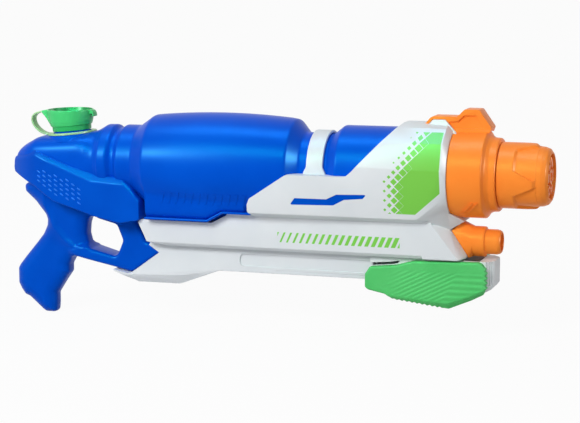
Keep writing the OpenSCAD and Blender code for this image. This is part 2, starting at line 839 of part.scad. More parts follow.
// Nozzle collar: a skirt inside the shell, a plain barrel and a necked front
skirt_len = 5;
disc_t = 8;
tower_r = outlet_ring_r + 7;
collar_front = collar_x + collar_len;

module nozzle_collar() {
    color(orange) on_axis() turned([
        [collar_x - skirt_len, collar_r - 3.5], [collar_x - skirt_len, collar_r - 0.6],
        [collar_x + 0.3, collar_r - 0.6], [collar_x + 0.3, collar_r], [collar_front - 17, collar_r],
        [collar_front - 13, collar_r - 2], [collar_front - 8, collar_r - 5.5],
        [collar_front, selector_r + 2.5], [collar_front, tower_r + fit],
        [collar_front - 6, tower_r + fit], [collar_front - 14, collar_r - 6.5],
        [manifold_x + disc_t, collar_r - 6.5], [manifold_x + disc_t, collar_r - 3.5]
    ]);
}

// Sight on top of the collar, with a low tail over the shell
sight_w = 22;
sight_outline = [
    [collar_x - 39, 48], [collar_x + 42, 48], [collar_x + 44, 56], [collar_x + 31, 76], [collar_x + 12, 75],
    [collar_x + 3, 67], [collar_x - 28, 65]
];

module sight() {
    color(orange) on_axis()
        difference() {
            union() {
                plate(sight_outline, -sight_w / 2, sight_w / 2);
                plate([[collar_x + 0.3, 40], [collar_x + 42, 40], [collar_x + 42, 56], [collar_x + 10, 60],
                       [collar_x + 0.3, 58]], -sight_w / 2 - 3, sight_w / 2 + 3);
            }
            bar_x(collar_x - 60, collar_front + 1, collar_r + fit);
            for (side = [0, 1]) mirror([0, side, 0]) fork_form(-fit);
        }
}

// Manifold: a disc in the collar, a tower to the selector and the selector's axle
axle_len = 32;
seal_groove_x = selector_x + 12;
seal_groove_w = 2.4;
seal_groove_d = 2.2;

module nozzle_manifold() {
    color(inner_grey) on_axis()
        difference() {
            union() {
                bar_x(manifold_x, manifold_x + disc_t, collar_r - 3.7);
                bar_x(manifold_x, collar_front - 0.1, tower_r);
                bar_x(manifold_x, selector_x + axle_len, axle_r);
                bar_x(manifold_x - 6, manifold_x + 1, pipe_r + 3, 0, pipe_y);
            }
            difference() {
                turned([[manifold_x - 7, axle_r + 2.5], [manifold_x - 7, tower_r - 2.5],
                        [collar_front - 6, tower_r - 2.5], [collar_front - 6, axle_r + 2.5]]);
                bar_x(manifold_x - 8, collar_front, pipe_r + 3, 0, pipe_y);
            }
            bar_x(manifold_x - 7, manifold_x + 4, pipe_r + 0.05, 0, pipe_y);
            bar_x(manifold_x, collar_front + 1, 3, 0, pipe_y);
            bar_x(selector_x + axle_len - 16, selector_x + axle_len + 1, screw_hole_r + 0.35);
            difference() {
                bar_x(seal_groove_x, seal_groove_x + seal_groove_w, axle_r + 1);
                bar_x(seal_groove_x - 1, seal_groove_x + seal_groove_w + 1, axle_r - seal_groove_d);
            }
        }
}

module selector_seal() {
    color(rubber) on_axis()
        difference() {
            bar_x(seal_groove_x + fit, seal_groove_x + seal_groove_w - fit, axle_r);
            bar_x(seal_groove_x - 1, seal_groove_x + seal_groove_w + 1, axle_r - seal_groove_d + 0.05);
        }
}

// Selector: turns on the axle and lines one of three outlets up with the feed
rim_x = tip_x - 6 - rim_len;
pocket_x = tip_x - 13;
face_t = 5.5;
settings = [0, 120, 240];
lug_count = 4;
lug_turn = 50;

module selector() {
    color(orange) on_axis()
        difference() {
            turned([
                [selector_x, 0], [selector_x, selector_r + 1], [selector_x + 2, selector_r],
                [rim_x - 4, selector_r], [rim_x, rim_r], [rim_x + rim_len, rim_r],
                [tip_x - 3, rim_r - 1.5], [tip_x, rim_r - 5], [tip_x, 0]
            ]);
            bar_x(selector_x - 1, selector_x + axle_len + 0.3, axle_r + shaft_gap);
            bar_x(selector_x, tip_x, screw_hole_r + 0.7);
            bar_x(pocket_x, tip_x + 1, face_r);
            turned([[selector_x - 1, outlet_ring_r + 6], [selector_x - 1, selector_r - 3.5],
                    [rim_x - 8, selector_r - 3.5], [rim_x - 8, outlet_ring_r + 6]]);
            for (a = settings) rotate([a, 0, 0]) bar_x(selector_x - 1, pocket_x + 1, 3, 0, outlet_ring_r);
            for (i = [0 : lug_count - 1])
                rotate([i * 360 / lug_count + 20, 0, 0]) rotate([0, 90, 0])
                    rotate_extrude(angle = lug_turn)
                        translate([selector_r - 2, selector_x + 16]) square([6, rim_x - selector_x - 20]);
        }
}

module nozzle_face() {
    color(orange) on_axis()
        difference() {
            union() {
                bar_x(pocket_x + 0.1, pocket_x + face_t, face_r - fit);
                bar_x(pocket_x + 1, pocket_x + face_t + 2, 9);
                for (a = settings) rotate([a, 0, 0])
                    bar_x(pocket_x + 1, pocket_x + face_t + 1.5, 5.5, 0, outlet_ring_r);
            }
            bar_x(pocket_x - 1, pocket_x + 20, screw_hole_r + 0.7);
            bar_x(pocket_x + face_t - 1, pocket_x + 20, 5.2);
            bar_x(pocket_x - 1, pocket_x + 20, 2.6, 0, outlet_ring_r);
            rotate([settings[1], 0, 0])
                for (a = [0, 120, 240])
                    translate([0, outlet_ring_r + 2.4 * cos(a), 2.4 * sin(a)])
                        bar_x(pocket_x - 1, pocket_x + 20, 0.9);
            rotate([settings[2], 0, 0])
                translate([pocket_x - 1, outlet_ring_r - 0.8, -3]) cube([20, 1.6, 6]);
        }
}

module selector_screw() {
    color(steel) on_axis() {
        bar_x(selector_x + axle_len - 14, pocket_x + face_t - 0.8 + seat, screw_hole_r + 0.25);
        difference() {
            bar_x(pocket_x + face_t - 1 + seat, pocket_x + face_t + 1.6, 4.6);
            for (turn = [0, 90])
                translate([pocket_x + face_t + 1.6, 0, 0]) rotate([turn, 0, 0])
                    cube([2, 5, 1], center = true);
        }
    }
}

// Small front nozzle below the collar, seated on the shell's sloped front
front_cap_tip = collar_x + 56;

module front_cap() {
    color(orange) on_axis()
        difference() {
            union() {
                intersection() {
                    union() {
                        bar_x(collar_x - 10, collar_x + 38, front_cap_r, -front_cap_drop);
                        bar_x(collar_x + 30, front_cap_tip, front_cap_r - 3, -front_cap_drop);
                    }
                    plate([[wedge_x(-50) + seat, -50], [wedge_x(-110) + seat, -110],
                           [big * 2, -110], [big * 2, -50]], -big, big);
                }
                bar_x(collar_x + 2, collar_x + 30, plug_r, -front_cap_drop);
            }
            bar_x(front_cap_tip - 8, front_cap_tip + 1, front_cap_r - 7, -front_cap_drop);
            bar_x(front_cap_tip - 20, front_cap_tip + 1, 3, -front_cap_drop);
            bar_x(collar_x + 1, front_cap_tip - 14, plug_r - 2.5, -front_cap_drop);
        }
}

// Pump handle: a core that straddles the rail, closed at the front
core_x = rail_end - 2;
core_end = rail_end + stroke + 21;
core_front_wall = 5;
core_outline = [
    [core_x, core_top], [core_x, core_top - 24], [core_x + 6, core_floor - 6],
    [core_x + 18, core_floor - 11],
    [core_x + 68, core_floor - 19], [core_end - 54, core_floor - 21.5], [core_end - 28, core_floor - 12],
    [core_end - 3, core_floor - 2], [core_end, core_floor + 2], [core_end, core_top]
];
core_hollow = [
    [core_x + 22, core_floor + 1], [core_x + 22, core_floor - 8], [link_x - 6, core_floor - 15],
    [link_x - 6, core_floor + 1]
];
pad_outline = [
    [core_x + 1, core_top - 11], [core_x - 5, core_top - 20], [core_x - 5, core_floor - 5],
    [core_x - 1, core_floor - 8],
    [core_x + 19, core_floor - 12], [core_x + 28, core_floor - 18], [core_x + 68, core_floor - 23],
    [core_end - 54, core_floor - 26], [core_end - 28, core_floor - 15], [core_end - 6, core_floor - 3],
    [core_end - 3, core_floor + 4], [core_end - 3, core_top - 9], [core_end - 9, core_top - 2],
    [core_end - 12, core_top], [core_x + 53, core_top - 2], [core_x + 32, core_top - 8]
];
link_screw_x = [link_x + 8, link_end - 8];

module pump_core() {
    color(white) on_axis()
        difference() {
            plate(core_outline, -half_core, half_core);
            translate([core_x - 1, -core_in, core_floor])
                cube([core_end - core_front_wall - core_x + 1, 2 * core_in, big]);
            plate(core_hollow, -core_in, core_in);
            for (x = link_screw_x) translate([x, 0, core_floor - 60]) {
                cylinder(r = screw_hole_r, h = 70);
                cylinder(r = head_hole_r, h = 56);
            }
        }
}

module pump_pad_half() {
    on_axis() soft_plate(pad_outline, half_core + 0.05, half_pump, 4);
}

module pump_pad_right() {
    color(green) mirror([0, 1, 0]) pump_pad_half();
}

module pump_pad_left() {
    color(green) pump_pad_half();
}

// Web from the handle up through the rail's slot and the shell's slot to the rod
head_low = band_floor + 0.5;
head_w = web_w + 5;
web_top = pump_z + rod_r + 3;

module pump_link() {
    color(inner_grey) on_axis()
        difference() {
            union() {
                translate([link_x, -web_w, core_floor]) cube([link_len, 2 * web_w, web_top - core_floor]);
                translate([link_x, -head_w, head_low]) cube([link_len, 2 * head_w, 4]);
                bar_x(link_x + 4, link_end, rod_r + 3, pump_z);
            }
            bar_x(link_x - 1, link_end - 5, rod_r + 0.05, pump_z);
            bar_y(link_end - 18, pump_z, -20, 20, 1.55);
            for (x = link_screw_x) translate([x, 0, core_floor - 1]) cylinder(r = pilot_r, h = 14);
        }
}

module piston_rod() {
    color(inner_grey) on_axis()
        difference() {
            bar_x(piston_x + 4, link_end - 5.05, rod_r, pump_z);
            bar_y(link_end - 18, pump_z, -20, 20, 1.55);
        }
}

ring_groove_x = piston_x + 5;
ring_groove_w = 3;
ring_groove_r = cyl_bore - 2.8;

module piston() {
    color(inner_grey) on_axis()
        difference() {
            bar_x(piston_x, piston_x + piston_len, cyl_bore - 0.35, pump_z);
            bar_x(piston_x + 3.95, piston_x + piston_len + 1, rod_r + 0.05, pump_z);
            difference() {
                bar_x(ring_groove_x, ring_groove_x + ring_groove_w, cyl_bore + 1, pump_z);
                bar_x(ring_groove_x - 1, ring_groove_x + ring_groove_w + 1, ring_groove_r, pump_z);
            }
        }
}

module piston_seal() {
    color(rubber) on_axis()
        difference() {
            bar_x(ring_groove_x + fit, ring_groove_x + ring_groove_w - fit, cyl_bore - shaft_gap, pump_z);
            bar_x(ring_groove_x - 1, ring_groove_x + ring_groove_w + 1, ring_groove_r + 0.05, pump_z);
        }
}

module link_pin() {
    color(steel) on_axis() bar_y(link_end - 18, pump_z, -rod_r - 2.5, rod_r + 2.5, 1.5);
}

module link_screws() {
    color(steel) on_axis()
        for (x = link_screw_x) {
            translate([x, 0, core_floor - 4]) cylinder(r = screw_r, h = 14);
            translate([x, 0, core_floor - 4 - head_h]) cylinder(r = head_r, h = head_h);
        }
}

// Filler cap: a skirt over the neck, a flared dished rim, a thumb lip and the strap's arm
skirt_r = neck_r + cap_gap;
skirt_out_r = skirt_r + 3.5;
arm_len = 12;
arm_t = 3;
arm_z = cap_rim_z - arm_t - 0.5;

module cap() {
    color(clear_green) on_neck() {
        rotate_extrude() polygon([
            [skirt_r, cap_z], [skirt_out_r, cap_z], [skirt_out_r + 0.4, cap_z + 6],
            [skirt_out_r + 1.4, cap_z + 7],
            [cap_rim_r, cap_rim_z - 1], [cap_rim_r - 0.6, cap_rim_z], [cap_rim_r - 3, cap_rim_z],
            [cap_rim_r - 5, cap_top_z], [0, cap_top_z], [0, cap_inner_z], [skirt_r, cap_inner_z]
        ]);
        translate([-cap_rim_r - arm_len, -strap_w / 2, arm_z]) cube([arm_len + 3, strap_w, arm_t]);
        translate([cap_rim_r - 2, -6, cap_rim_z - 5]) cube([6, 12, 3]);
    }
}

module cap_liner() {
    color(rubber) on_neck()
        translate([0, 0, neck_h + fit]) cylinder(r = neck_r + 0.2, h = cap_inner_z - neck_h - 2 * fit);
}

module cap_ring() {
    color(clear_green) on_neck()
        translate([0, 0, ring_z]) difference() {
            cylinder(r = ring_r, h = ring_t);
            translate([0, 0, -1]) cylinder(r = neck_r + seat, h = ring_t + 2);
        }
}

// Tether strap: a soft loop from the ring's rear edge up to the cap's arm
strap_t = 2;
strap_steps = 16;
strap_from = [-ring_r - 0.2, ring_z + ring_t / 2];
strap_to = [-cap_rim_r - arm_len - 0.2, arm_z + arm_t / 2];
strap_pull = [[-ring_r - 24, ring_z + ring_t / 2], [-cap_rim_r - 44, arm_z + arm_t / 2]];
function strap_point(u) =
    pow(1 - u, 3) * strap_from + 3 * u * pow(1 - u, 2) * strap_pull[0]
    + 3 * u * u * (1 - u) * strap_pull[1] + pow(u, 3) * strap_to;
function strap_normal(u) = left_normal(strap_point(max(u - 0.01, 0)), strap_point(min(u + 0.01, 1)));

module cap_strap() {
    us = [for (i = [0 : strap_steps]) i / strap_steps];
    outline = concat(
        [for (u = us) strap_point(u) + strap_normal(u) * strap_t / 2],
        [for (i = [strap_steps : -1 : 0]) strap_point(us[i]) - strap_normal(us[i]) * strap_t / 2]
    );
    color(clear_green) on_neck() plate(outline, -strap_w / 2, strap_w / 2);
}

module shell_screws() {
    color(steel) on_axis() for (s = shell_screw_at) side_screw(s[0], s[1]);
}

module grip_screws() {
    color(steel) on_axis() for (s = grip_screw_at) side_screw(s[0], s[1]);
}

tank();
tank_gasket();
tank_strap();
grip_right();
grip_left();
shell_right();
shell_left();
inlay_right();
inlay_left();
pump_rail();
pump_cylinder();
cylinder_bush();
rod_seal();
stop_washer();
valve_block();
inlet_valve();
outlet_valve();
outlet_pipe();
nozzle_collar();
sight();
nozzle_manifold();
selector_seal();
selector_screw();
selector();
nozzle_face();
front_cap();
pump_core();
pump_pad_right();
pump_pad_left();
pump_link();
piston_rod();
piston();
piston_seal();
link_pin();
link_screws();
cap();
cap_liner();
cap_ring();
cap_strap();
shell_screws();
grip_screws();
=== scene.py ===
# %% [markdown]
# # A large water squirter
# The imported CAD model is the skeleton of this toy: every body, joint and size comes from it. Here each
# outer piece gets its real skin: rounded edges, ribs, notches and a plastic that catches the light. Lengths
# are drawn in millimetres about the tank's long axis, and turned to metres when a piece is done.

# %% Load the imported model
import math

import bmesh
import bpy
import numpy as np
from mathutils import Matrix, Vector
from mathutils.geometry import delaunay_2d_cdt


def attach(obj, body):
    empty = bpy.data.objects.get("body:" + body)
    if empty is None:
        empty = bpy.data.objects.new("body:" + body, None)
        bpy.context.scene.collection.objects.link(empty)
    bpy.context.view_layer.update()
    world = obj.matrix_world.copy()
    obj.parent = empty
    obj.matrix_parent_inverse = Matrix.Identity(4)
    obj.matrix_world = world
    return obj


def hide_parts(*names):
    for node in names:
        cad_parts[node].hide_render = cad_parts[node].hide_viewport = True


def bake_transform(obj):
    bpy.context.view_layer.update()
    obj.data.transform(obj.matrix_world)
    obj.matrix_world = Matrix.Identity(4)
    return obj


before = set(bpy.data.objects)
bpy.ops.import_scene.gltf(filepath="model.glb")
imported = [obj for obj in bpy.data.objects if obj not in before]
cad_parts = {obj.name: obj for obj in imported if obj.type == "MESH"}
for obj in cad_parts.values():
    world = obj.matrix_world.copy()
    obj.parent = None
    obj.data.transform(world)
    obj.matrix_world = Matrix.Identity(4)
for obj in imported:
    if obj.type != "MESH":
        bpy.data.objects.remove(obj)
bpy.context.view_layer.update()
print("nodes:", len(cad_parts))

# %% [markdown]
# ## From a drawing to a piece
# The real squirter is drawn about one long axis, so all outlines here use the same axis as zero height. A
# piece is built in millimetres, because bevels and cuts are easier to judge that way. When it is finished
# it moves to its place in metres, is shaded, and rides on its CAD body.

# %% Placing, shading and putting a piece on its body
AXIS_HEIGHT = 193.0
TO_METRES = Matrix.Scale(0.001, 4) @ Matrix.Translation((0.0, 0.0, AXIS_HEIGHT))
ALONG_X = Matrix.Rotation(math.radians(90.0), 4, "Y")
TO_LEFT = Matrix.Rotation(math.radians(-90.0), 4, "X")
NECK_LEAN = math.atan(7.0 / 75.0)
NECK = Matrix.Translation((30.0, 0.0, 32.453)) @ Matrix.Rotation(-NECK_LEAN, 4, "Y")
MIRROR = Matrix.Scale(-1.0, 4, (0.0, 1.0, 0.0))
SIDES = (-1.0, 1.0)


def linked(name, data):
    obj = bpy.data.objects.new(name, data)
    bpy.context.collection.objects.link(obj)
    return obj


def raw(name, verts, faces):
    mesh = bpy.data.meshes.new(name)
    mesh.from_pydata([tuple(v) for v in verts], [], [tuple(f) for f in faces])
    return linked(name, mesh)


def tidy_mesh(obj, gap=1e-4):
    # joins points that lie on each other, then turns all faces outwards
    bm = bmesh.new()
    bm.from_mesh(obj.data)
    bmesh.ops.remove_doubles(bm, verts=bm.verts, dist=gap)
    bmesh.ops.recalc_face_normals(bm, faces=bm.faces)
    bm.to_mesh(obj.data)
    bm.free()
    return obj


def settle(obj):
    # turns what the modifiers show into a plain mesh
    graph = bpy.context.evaluated_depsgraph_get()
    mesh = bpy.data.meshes.new_from_object(obj.evaluated_get(graph))
    old = obj.data
    obj.modifiers.clear()
    obj.data = mesh
    bpy.data.meshes.remove(old)
    return obj


def drop(*objs):
    for obj in objs:
        bpy.data.objects.remove(obj, do_unlink=True)


def carve(obj, tool, how="DIFFERENCE"):
    # cuts the tool out, joins it or keeps what both share, and throws the tool away
    mod = obj.modifiers.new("carve", "BOOLEAN")
    mod.operation = how
    mod.solver = "EXACT"
    mod.object = tool
    settle(obj)
    drop(tool)
    return obj


def soften(obj, width, segments=3, angle=28.0):
    mod = obj.modifiers.new("soften", "BEVEL")
    mod.width = width
    mod.segments = segments
    mod.limit_method = "ANGLE"
    mod.angle_limit = math.radians(angle)
    return settle(obj)


def twin(obj, name):
    # the same piece for the far side
    other = linked(name, obj.data.copy())
    other.data.transform(MIRROR)
    other.data.flip_normals()
    return other


def dress(obj, finish, angle):
    obj.data.transform(TO_METRES)
    obj.data.materials.clear()
    obj.data.materials.append(finish)
    for face in obj.data.polygons:
        face.use_smooth = True
        face.material_index = 0
    obj.data.set_sharp_from_angle(angle=math.radians(angle))


def hand_over(obj, body, slot, finish, *nodes, angle=35.0):
    dress(obj, finish, angle)
    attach(obj, body)
    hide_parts(*nodes)
    print(obj.name, len(obj.data.polygons), "faces on", body)


print("the long axis is", AXIS_HEIGHT, "mm above the floor")

# %% [markdown]
# ## Outlines with soft corners
# A moulded toy has no sharp corner, because a mould can't fill one. Every outline is typed as a few
# straight runs, and a small function turns each corner into an arc. That keeps the numbers few and the
# shape true.

# %% Arcs at corners, even steps, turned and lofted solids
NEARLY_STRAIGHT = 1.54
MOST_OF_A_RUN = 0.48


def arcs(points, radii, closed=True, steps=6):
    pts = [np.array(p, float) for p in points]
    count = len(pts)
    radii = radii if hasattr(radii, "__len__") else [radii] * count
    out = []
    for i, p in enumerate(pts):
        if not closed and i in (0, count - 1):
            out.append(p)
            continue
        a = pts[i - 1] - p
        b = pts[(i + 1) % count] - p
        la = np.linalg.norm(a)
        lb = np.linalg.norm(b)
        cosine = float(np.clip(a @ b / (la * lb), -1.0, 1.0))
        half = math.acos(cosine) / 2.0
        if half > NEARLY_STRAIGHT or radii[i] <= 0.0:
            out.append(p)
            continue
        run = min(radii[i] / math.tan(half), MOST_OF_A_RUN * la, MOST_OF_A_RUN * lb)
        start = p + a / la * run
        end = p + b / lb * run
        for t in (k / steps for k in range(steps + 1)):
            out.append((1 - t) ** 2 * start + 2 * t * (1 - t) * p + t * t * end)
    return np.array(out)


def rounded(corners, closed=True, steps=6):
    # corners holds two coordinates and the rounding of each corner
    return arcs([c[:2] for c in corners], [c[2] for c in corners], closed, steps)


def even(points, step):
    # a closed loop in even steps
    pts = np.vstack([points, points[:1]])
    runs = np.linalg.norm(np.diff(pts, axis=0), axis=1)
    marks = np.concatenate([[0.0], np.cumsum(runs)])
    count = max(3, int(round(marks[-1] / step)))
    at = np.linspace(0.0, marks[-1], count + 1)[:-1]
    return np.column_stack([np.interp(at, marks, pts[:, 0]), np.interp(at, marks, pts[:, 1])])


def full_turn(count):
    return np.linspace(0.0, 2.0 * math.pi, count, endpoint=False)


def ring_faces(rows, sides, loop=False):
    # the faces between rows of points that each go once round
    faces = []
    for i in range(rows if loop else rows - 1):
        j = (i + 1) % rows
        for k in range(sides):
            m = (k + 1) % sides
            faces.append((i * sides + k, i * sides + m, j * sides + m, j * sides + k))
    return faces


def turned(name, profile, segments=128, matrix=ALONG_X, loop=True):
    # profile holds (height along the axis, radius); ALONG_X lays that axis along the barrel
    verts = [(r * math.cos(a), r * math.sin(a), h) for h, r in profile for a in full_turn(segments)]
    obj = tidy_mesh(raw(name, verts, ring_faces(len(profile), segments, loop)))
    obj.data.transform(matrix)
    return obj


def rod(name, start, end, radius, segments, matrix):
    return turned(name, [(start, 0.0), (start, radius), (end, radius), (end, 0.0)], segments, matrix, False)


def lofted(name, rings):
    # rings are closed loops of equal count; both ends are closed with a flat face
    count = len(rings[0])
    verts = [tuple(p) for ring in rings for p in ring]
    ends = [tuple(range(count)), tuple(range(len(verts) - 1, len(verts) - count - 1, -1))]
    return tidy_mesh(raw(name, verts, ends + ring_faces(len(rings), count)))


def plate(name, outline, y0, y1):
    # a side outline in X and Z, between two depths
    return lofted(name, [[(x, y, z) for x, z in outline] for y in (y0, y1)])


def box(x0, z0, x1, z1):
    return [(x0, z0), (x1, z0), (x1, z1), (x0, z1)]


def carve_sides(obj, name, outline, inner, outer):
    # the same cut on the near and on the far side
    for y0, y1 in ((-outer, -inner), (inner, outer)):
        carve(obj, plate(name, outline, y0, y1))


def hull_of(name, points):
    bm = bmesh.new()
    for p in points:
        bm.verts.new(p)
    made = bmesh.ops.convex_hull(bm, input=bm.verts)
    bmesh.ops.delete(bm, geom=made["geom_interior"], context="VERTS")
    bmesh.ops.dissolve_limit(bm, angle_limit=math.radians(0.6), verts=bm.verts, edges=bm.edges)
    bmesh.ops.recalc_face_normals(bm, faces=bm.faces)
    obj = raw(name, [], [])
    bm.to_mesh(obj.data)
    bm.free()
    return obj


def smooth_step(a, b, x):
    t = np.clip((np.asarray(x, float) - a) / (b - a), 0.0, 1.0)
    return t * t * (3.0 - 2.0 * t)


def stretch(x, start, full, fading, end):
    # 1 on a stretch, fading to 0 at both of its ends
    return smooth_step(start, full, x) * (1.0 - smooth_step(fading, end, x))


def on_line(line, at):
    # line holds pairs of place and value
    line = np.array(line, float)
    return np.interp(at, line[:, 0], line[:, 1])


print("drawing helpers ready")

# %% [markdown]
# ## Filling an outline with a crowned skin
# The grip, the cheeks and the pads are flat outlines whose face swells in the middle and rolls over at the
# rim. The outline is filled with points, the points are joined by a Delaunay fill, and each point's depth
# is worked out from its distance to the rim. One function then makes every swelling piece on the toy.

# %% Points inside an outline
CHUNK = 4000


def inside(points, loop):
    x = points[:, 0][:, None]
    z = points[:, 1][:, None]
    a = loop
    b = np.roll(loop, -1, axis=0)
    straddles = (a[:, 1] > z) != (b[:, 1] > z)
    rise = np.where(b[:, 1] == a[:, 1], 1e-12, b[:, 1] - a[:, 1])
    cross = (b[:, 0] - a[:, 0]) * (z - a[:, 1]) / rise + a[:, 0]
    return (straddles & (x < cross)).sum(axis=1) % 2 == 1


def within(points, loops):
    # inside the first loop and outside the others, which are holes
    ok = inside(points, loops[0])
    for hole in loops[1:]:
        ok &= ~inside(points, hole)
    return ok


def rim_distance(points, loops):
    best = np.full(len(points), 1e9)
    for loop in loops:
        a = loop
        d = np.roll(loop, -1, axis=0) - a
        size = (d * d).sum(axis=1)
        for start in range(0, len(points), CHUNK):
            p = points[start:start + CHUNK, None, :] - a[None, :, :]
            t = np.clip((p * d).sum(axis=2) / size, 0.0, 1.0)
            gap = np.linalg.norm(p - t[:, :, None] * d, axis=2).min(axis=1)
            best[start:start + CHUNK] = np.minimum(best[start:start + CHUNK], gap)
    return best


def filling(loops, spacing, rims):
    # the loops themselves, rows that follow them at the rim distances, and an even field in the middle
    cloud = [p for loop in loops for p in loop]
    on_loops = len(cloud)
    for loop in loops:
        run = np.roll(loop, -1, axis=0) - np.roll(loop, 1, axis=0)
        out = np.column_stack([-run[:, 1], run[:, 0]]) / np.linalg.norm(run, axis=1)[:, None]
        for rim in rims:
            for side in (1.0, -1.0):
                ring = loop + side * out * rim
                cloud += list(ring[rim_distance(ring, loops) > 0.93 * rim])
    low = loops[0].min(axis=0)
    high = loops[0].max(axis=0)
    field = []
    for k, z in enumerate(np.arange(low[1], high[1], spacing * 0.866)):
        field += [(x, z) for x in np.arange(low[0] + (k % 2) * spacing / 2.0, high[0], spacing)]
    field = np.array(field)
    cloud += list(field[rim_distance(field, loops) > rims[-1] + 0.5 * spacing])
    cloud = np.array(cloud)
    ok = within(cloud, loops)
    ok[:on_loops] = True
    return cloud[ok]


square = np.array(box(0.0, 0.0, 1.0, 1.0))
print("a point in a square and one beside it:", within(np.array([(0.5, 0.5), (2.0, 0.5)]), [square]))

# %% A crowned plate from an outline
def crowned(name, outline, holes, depth_of, spacing, rims, back):
    # depth_of(points, rim distance) gives each point's depth; back is the depth of the flat side
    loops = [even(loop, spacing) for loop in (outline, *holes)]
    edges = []
    for loop in loops:
        first = len(edges)
        edges += [(first + k, first + (k + 1) % len(loop)) for k in range(len(loop))]
    made = delaunay_2d_cdt([Vector(p) for p in filling(loops, spacing, rims)], edges, [], 1, 1e-5)
    pts = np.array([tuple(v) for v in made[0]])
    tris = np.array(made[2])
    tris = tris[within(pts[tris].mean(axis=1), loops)]
    depth = depth_of(pts, rim_distance(pts, loops))
    count = len(pts)
    verts = [(p[0], d, p[1]) for p, d in zip(pts, depth)]
    verts += [(p[0], back, p[1]) for p in pts]
    faces = [tuple(t) for t in tris]
    faces += [(t[2] + count, t[1] + count, t[0] + count) for t in tris]
    open_edges = {}
    for t in tris:
        for a, b in ((t[0], t[1]), (t[1], t[2]), (t[2], t[0])):
            key = (min(a, b), max(a, b))
            open_edges[key] = None if key in open_edges else (a, b)
    faces += [(b, a, a + count, b + count) for a, b in filter(None, open_edges.values())]
    obj = raw(name, verts, faces)
    bm = bmesh.new()
    bm.from_mesh(obj.data)
    bmesh.ops.delete(bm, geom=[v for v in bm.verts if not v.link_faces], context="VERTS")
    flat_faces = [f for f in bm.faces if all(abs(v.co.y - back) < 1e-6 for v in f.verts)]
    bmesh.ops.dissolve_faces(bm, faces=flat_faces)
    bmesh.ops.recalc_face_normals(bm, faces=bm.faces)
    bm.to_mesh(obj.data)
    bm.free()
    return obj


def roll(distance, width, fall):
    # how far a rounded rim falls below the crown at a distance from the edge
    t = np.clip(distance / width, 0.0, 1.0)
    return fall * (1.0 - np.sqrt(np.clip(1.0 - (1.0 - t) ** 2, 0.0, 1.0)))


print("crowned plate helper ready")

# %% [markdown]
# ## Shader sums in plain Python
# A finish is a small sum: base colour, a little cloudiness, fine grain, a pattern here and there. Wiring
# those sums by hand is slow to read, so one small class wraps a node socket and lets Python's own + - * add
# the nodes.

# %% A socket that can be added and multiplied
class Wire:
    def __init__(self, tree, socket=None):
        self.tree = tree
        self.socket = socket

    def add(self, kind, settings, values, output=0):
        node = self.tree.nodes.new(kind)
        for name, value in settings.items():
            setattr(node, name, value)
        for key, value in values.items():
            if isinstance(value, Wire):
                self.tree.links.new(value.socket, node.inputs[key])
            else:
                node.inputs[key].default_value = value
        return Wire(self.tree, node.outputs[output])

    def maths(self, operation, *values):
        return self.add("ShaderNodeMath", {"operation": operation}, dict(enumerate(values)))

    def __add__(self, other):
        return self.maths("ADD", self, other)

    def __radd__(self, other):
        return self.maths("ADD", other, self)

    def __sub__(self, other):
        return self.maths("SUBTRACT", self, other)

    def __rsub__(self, other):
        return self.maths("SUBTRACT", other, self)

    def __mul__(self, other):
        return self.maths("MULTIPLY", self, other)

    def __rmul__(self, other):
        return self.maths("MULTIPLY", other, self)

    def step(self, low, high):
        settings = {"interpolation_type": "SMOOTHSTEP"}
        values = {"Value": self, "From Min": low, "From Max": high}
        return self.add("ShaderNodeMapRange", settings, values)

    def blend(self, first, second):
        settings = {"data_type": "RGBA"}
        return self.add("ShaderNodeMix", settings, {0: self, 6: first, 7: second}, 2)

    def part(self, axis):
        return self.add("ShaderNodeSeparateXYZ", {}, {"Vector": self}, axis)

    def vector(self, **parts):
        return self.add("ShaderNodeCombineXYZ", {}, parts)


print("shader sums ready")

# %% [markdown]
# ## Trees for what repeats
# Bars, dashes, windows and screws repeat, and a strap follows a path, so Geometry Nodes make them. Each
# tree is wired with the same class as the finishes. Its sizes are named inputs, and the result is kept as a
# plain mesh.

# %% Opening, closing and using a tree
# how far beside the toy the rays start
BESIDE = 90.0


def grove(name, sizes):
    # an empty tree with named inputs; gives the tree, a pen and a wire for each input
    tree = bpy.data.node_groups.new(name, "GeometryNodeTree")
    tree.interface.new_socket("Geometry", in_out="OUTPUT", socket_type="NodeSocketGeometry")
    tree.interface.new_socket("Geometry", in_out="INPUT", socket_type="NodeSocketGeometry")
    for label, kind in sizes.items():
        tree.interface.new_socket(label, in_out="INPUT", socket_type="NodeSocket" + kind)
    source = tree.nodes.new("NodeGroupInput")
    wires = {label: Wire(tree, source.outputs[label]) for label in ["Geometry", *sizes]}
    return tree, Wire(tree), wires


def close_tree(pen, geometry, material):
    # every tree ends the same way: real meshes, not instances, with their material
    real = pen.add("GeometryNodeRealizeInstances", {}, {"Geometry": geometry})
    dressed = pen.add("GeometryNodeSetMaterial", {}, {"Geometry": real, "Material": material})
    sink = pen.tree.nodes.new("NodeGroupOutput")
    pen.tree.links.new(dressed.socket, sink.inputs["Geometry"])
    print("tree", pen.tree.name, "has", len(pen.tree.nodes), "nodes")


def joined(pen, first, second):
    both = pen.tree.nodes.new("GeometryNodeJoinGeometry")
    for wire in (second, first):
        pen.tree.links.new(wire.socket, both.inputs["Geometry"])
    return Wire(pen.tree, both.outputs["Geometry"])


def landing(pen, skin, side):
    # where a ray that starts beside the toy meets the skin
    ray = {"Target Geometry": skin, "Ray Direction": pen.vector(Y=side * -1.0), "Ray Length": 2.0 * BESIDE}
    return pen.add("GeometryNodeRaycast", {}, ray, "Hit Position")


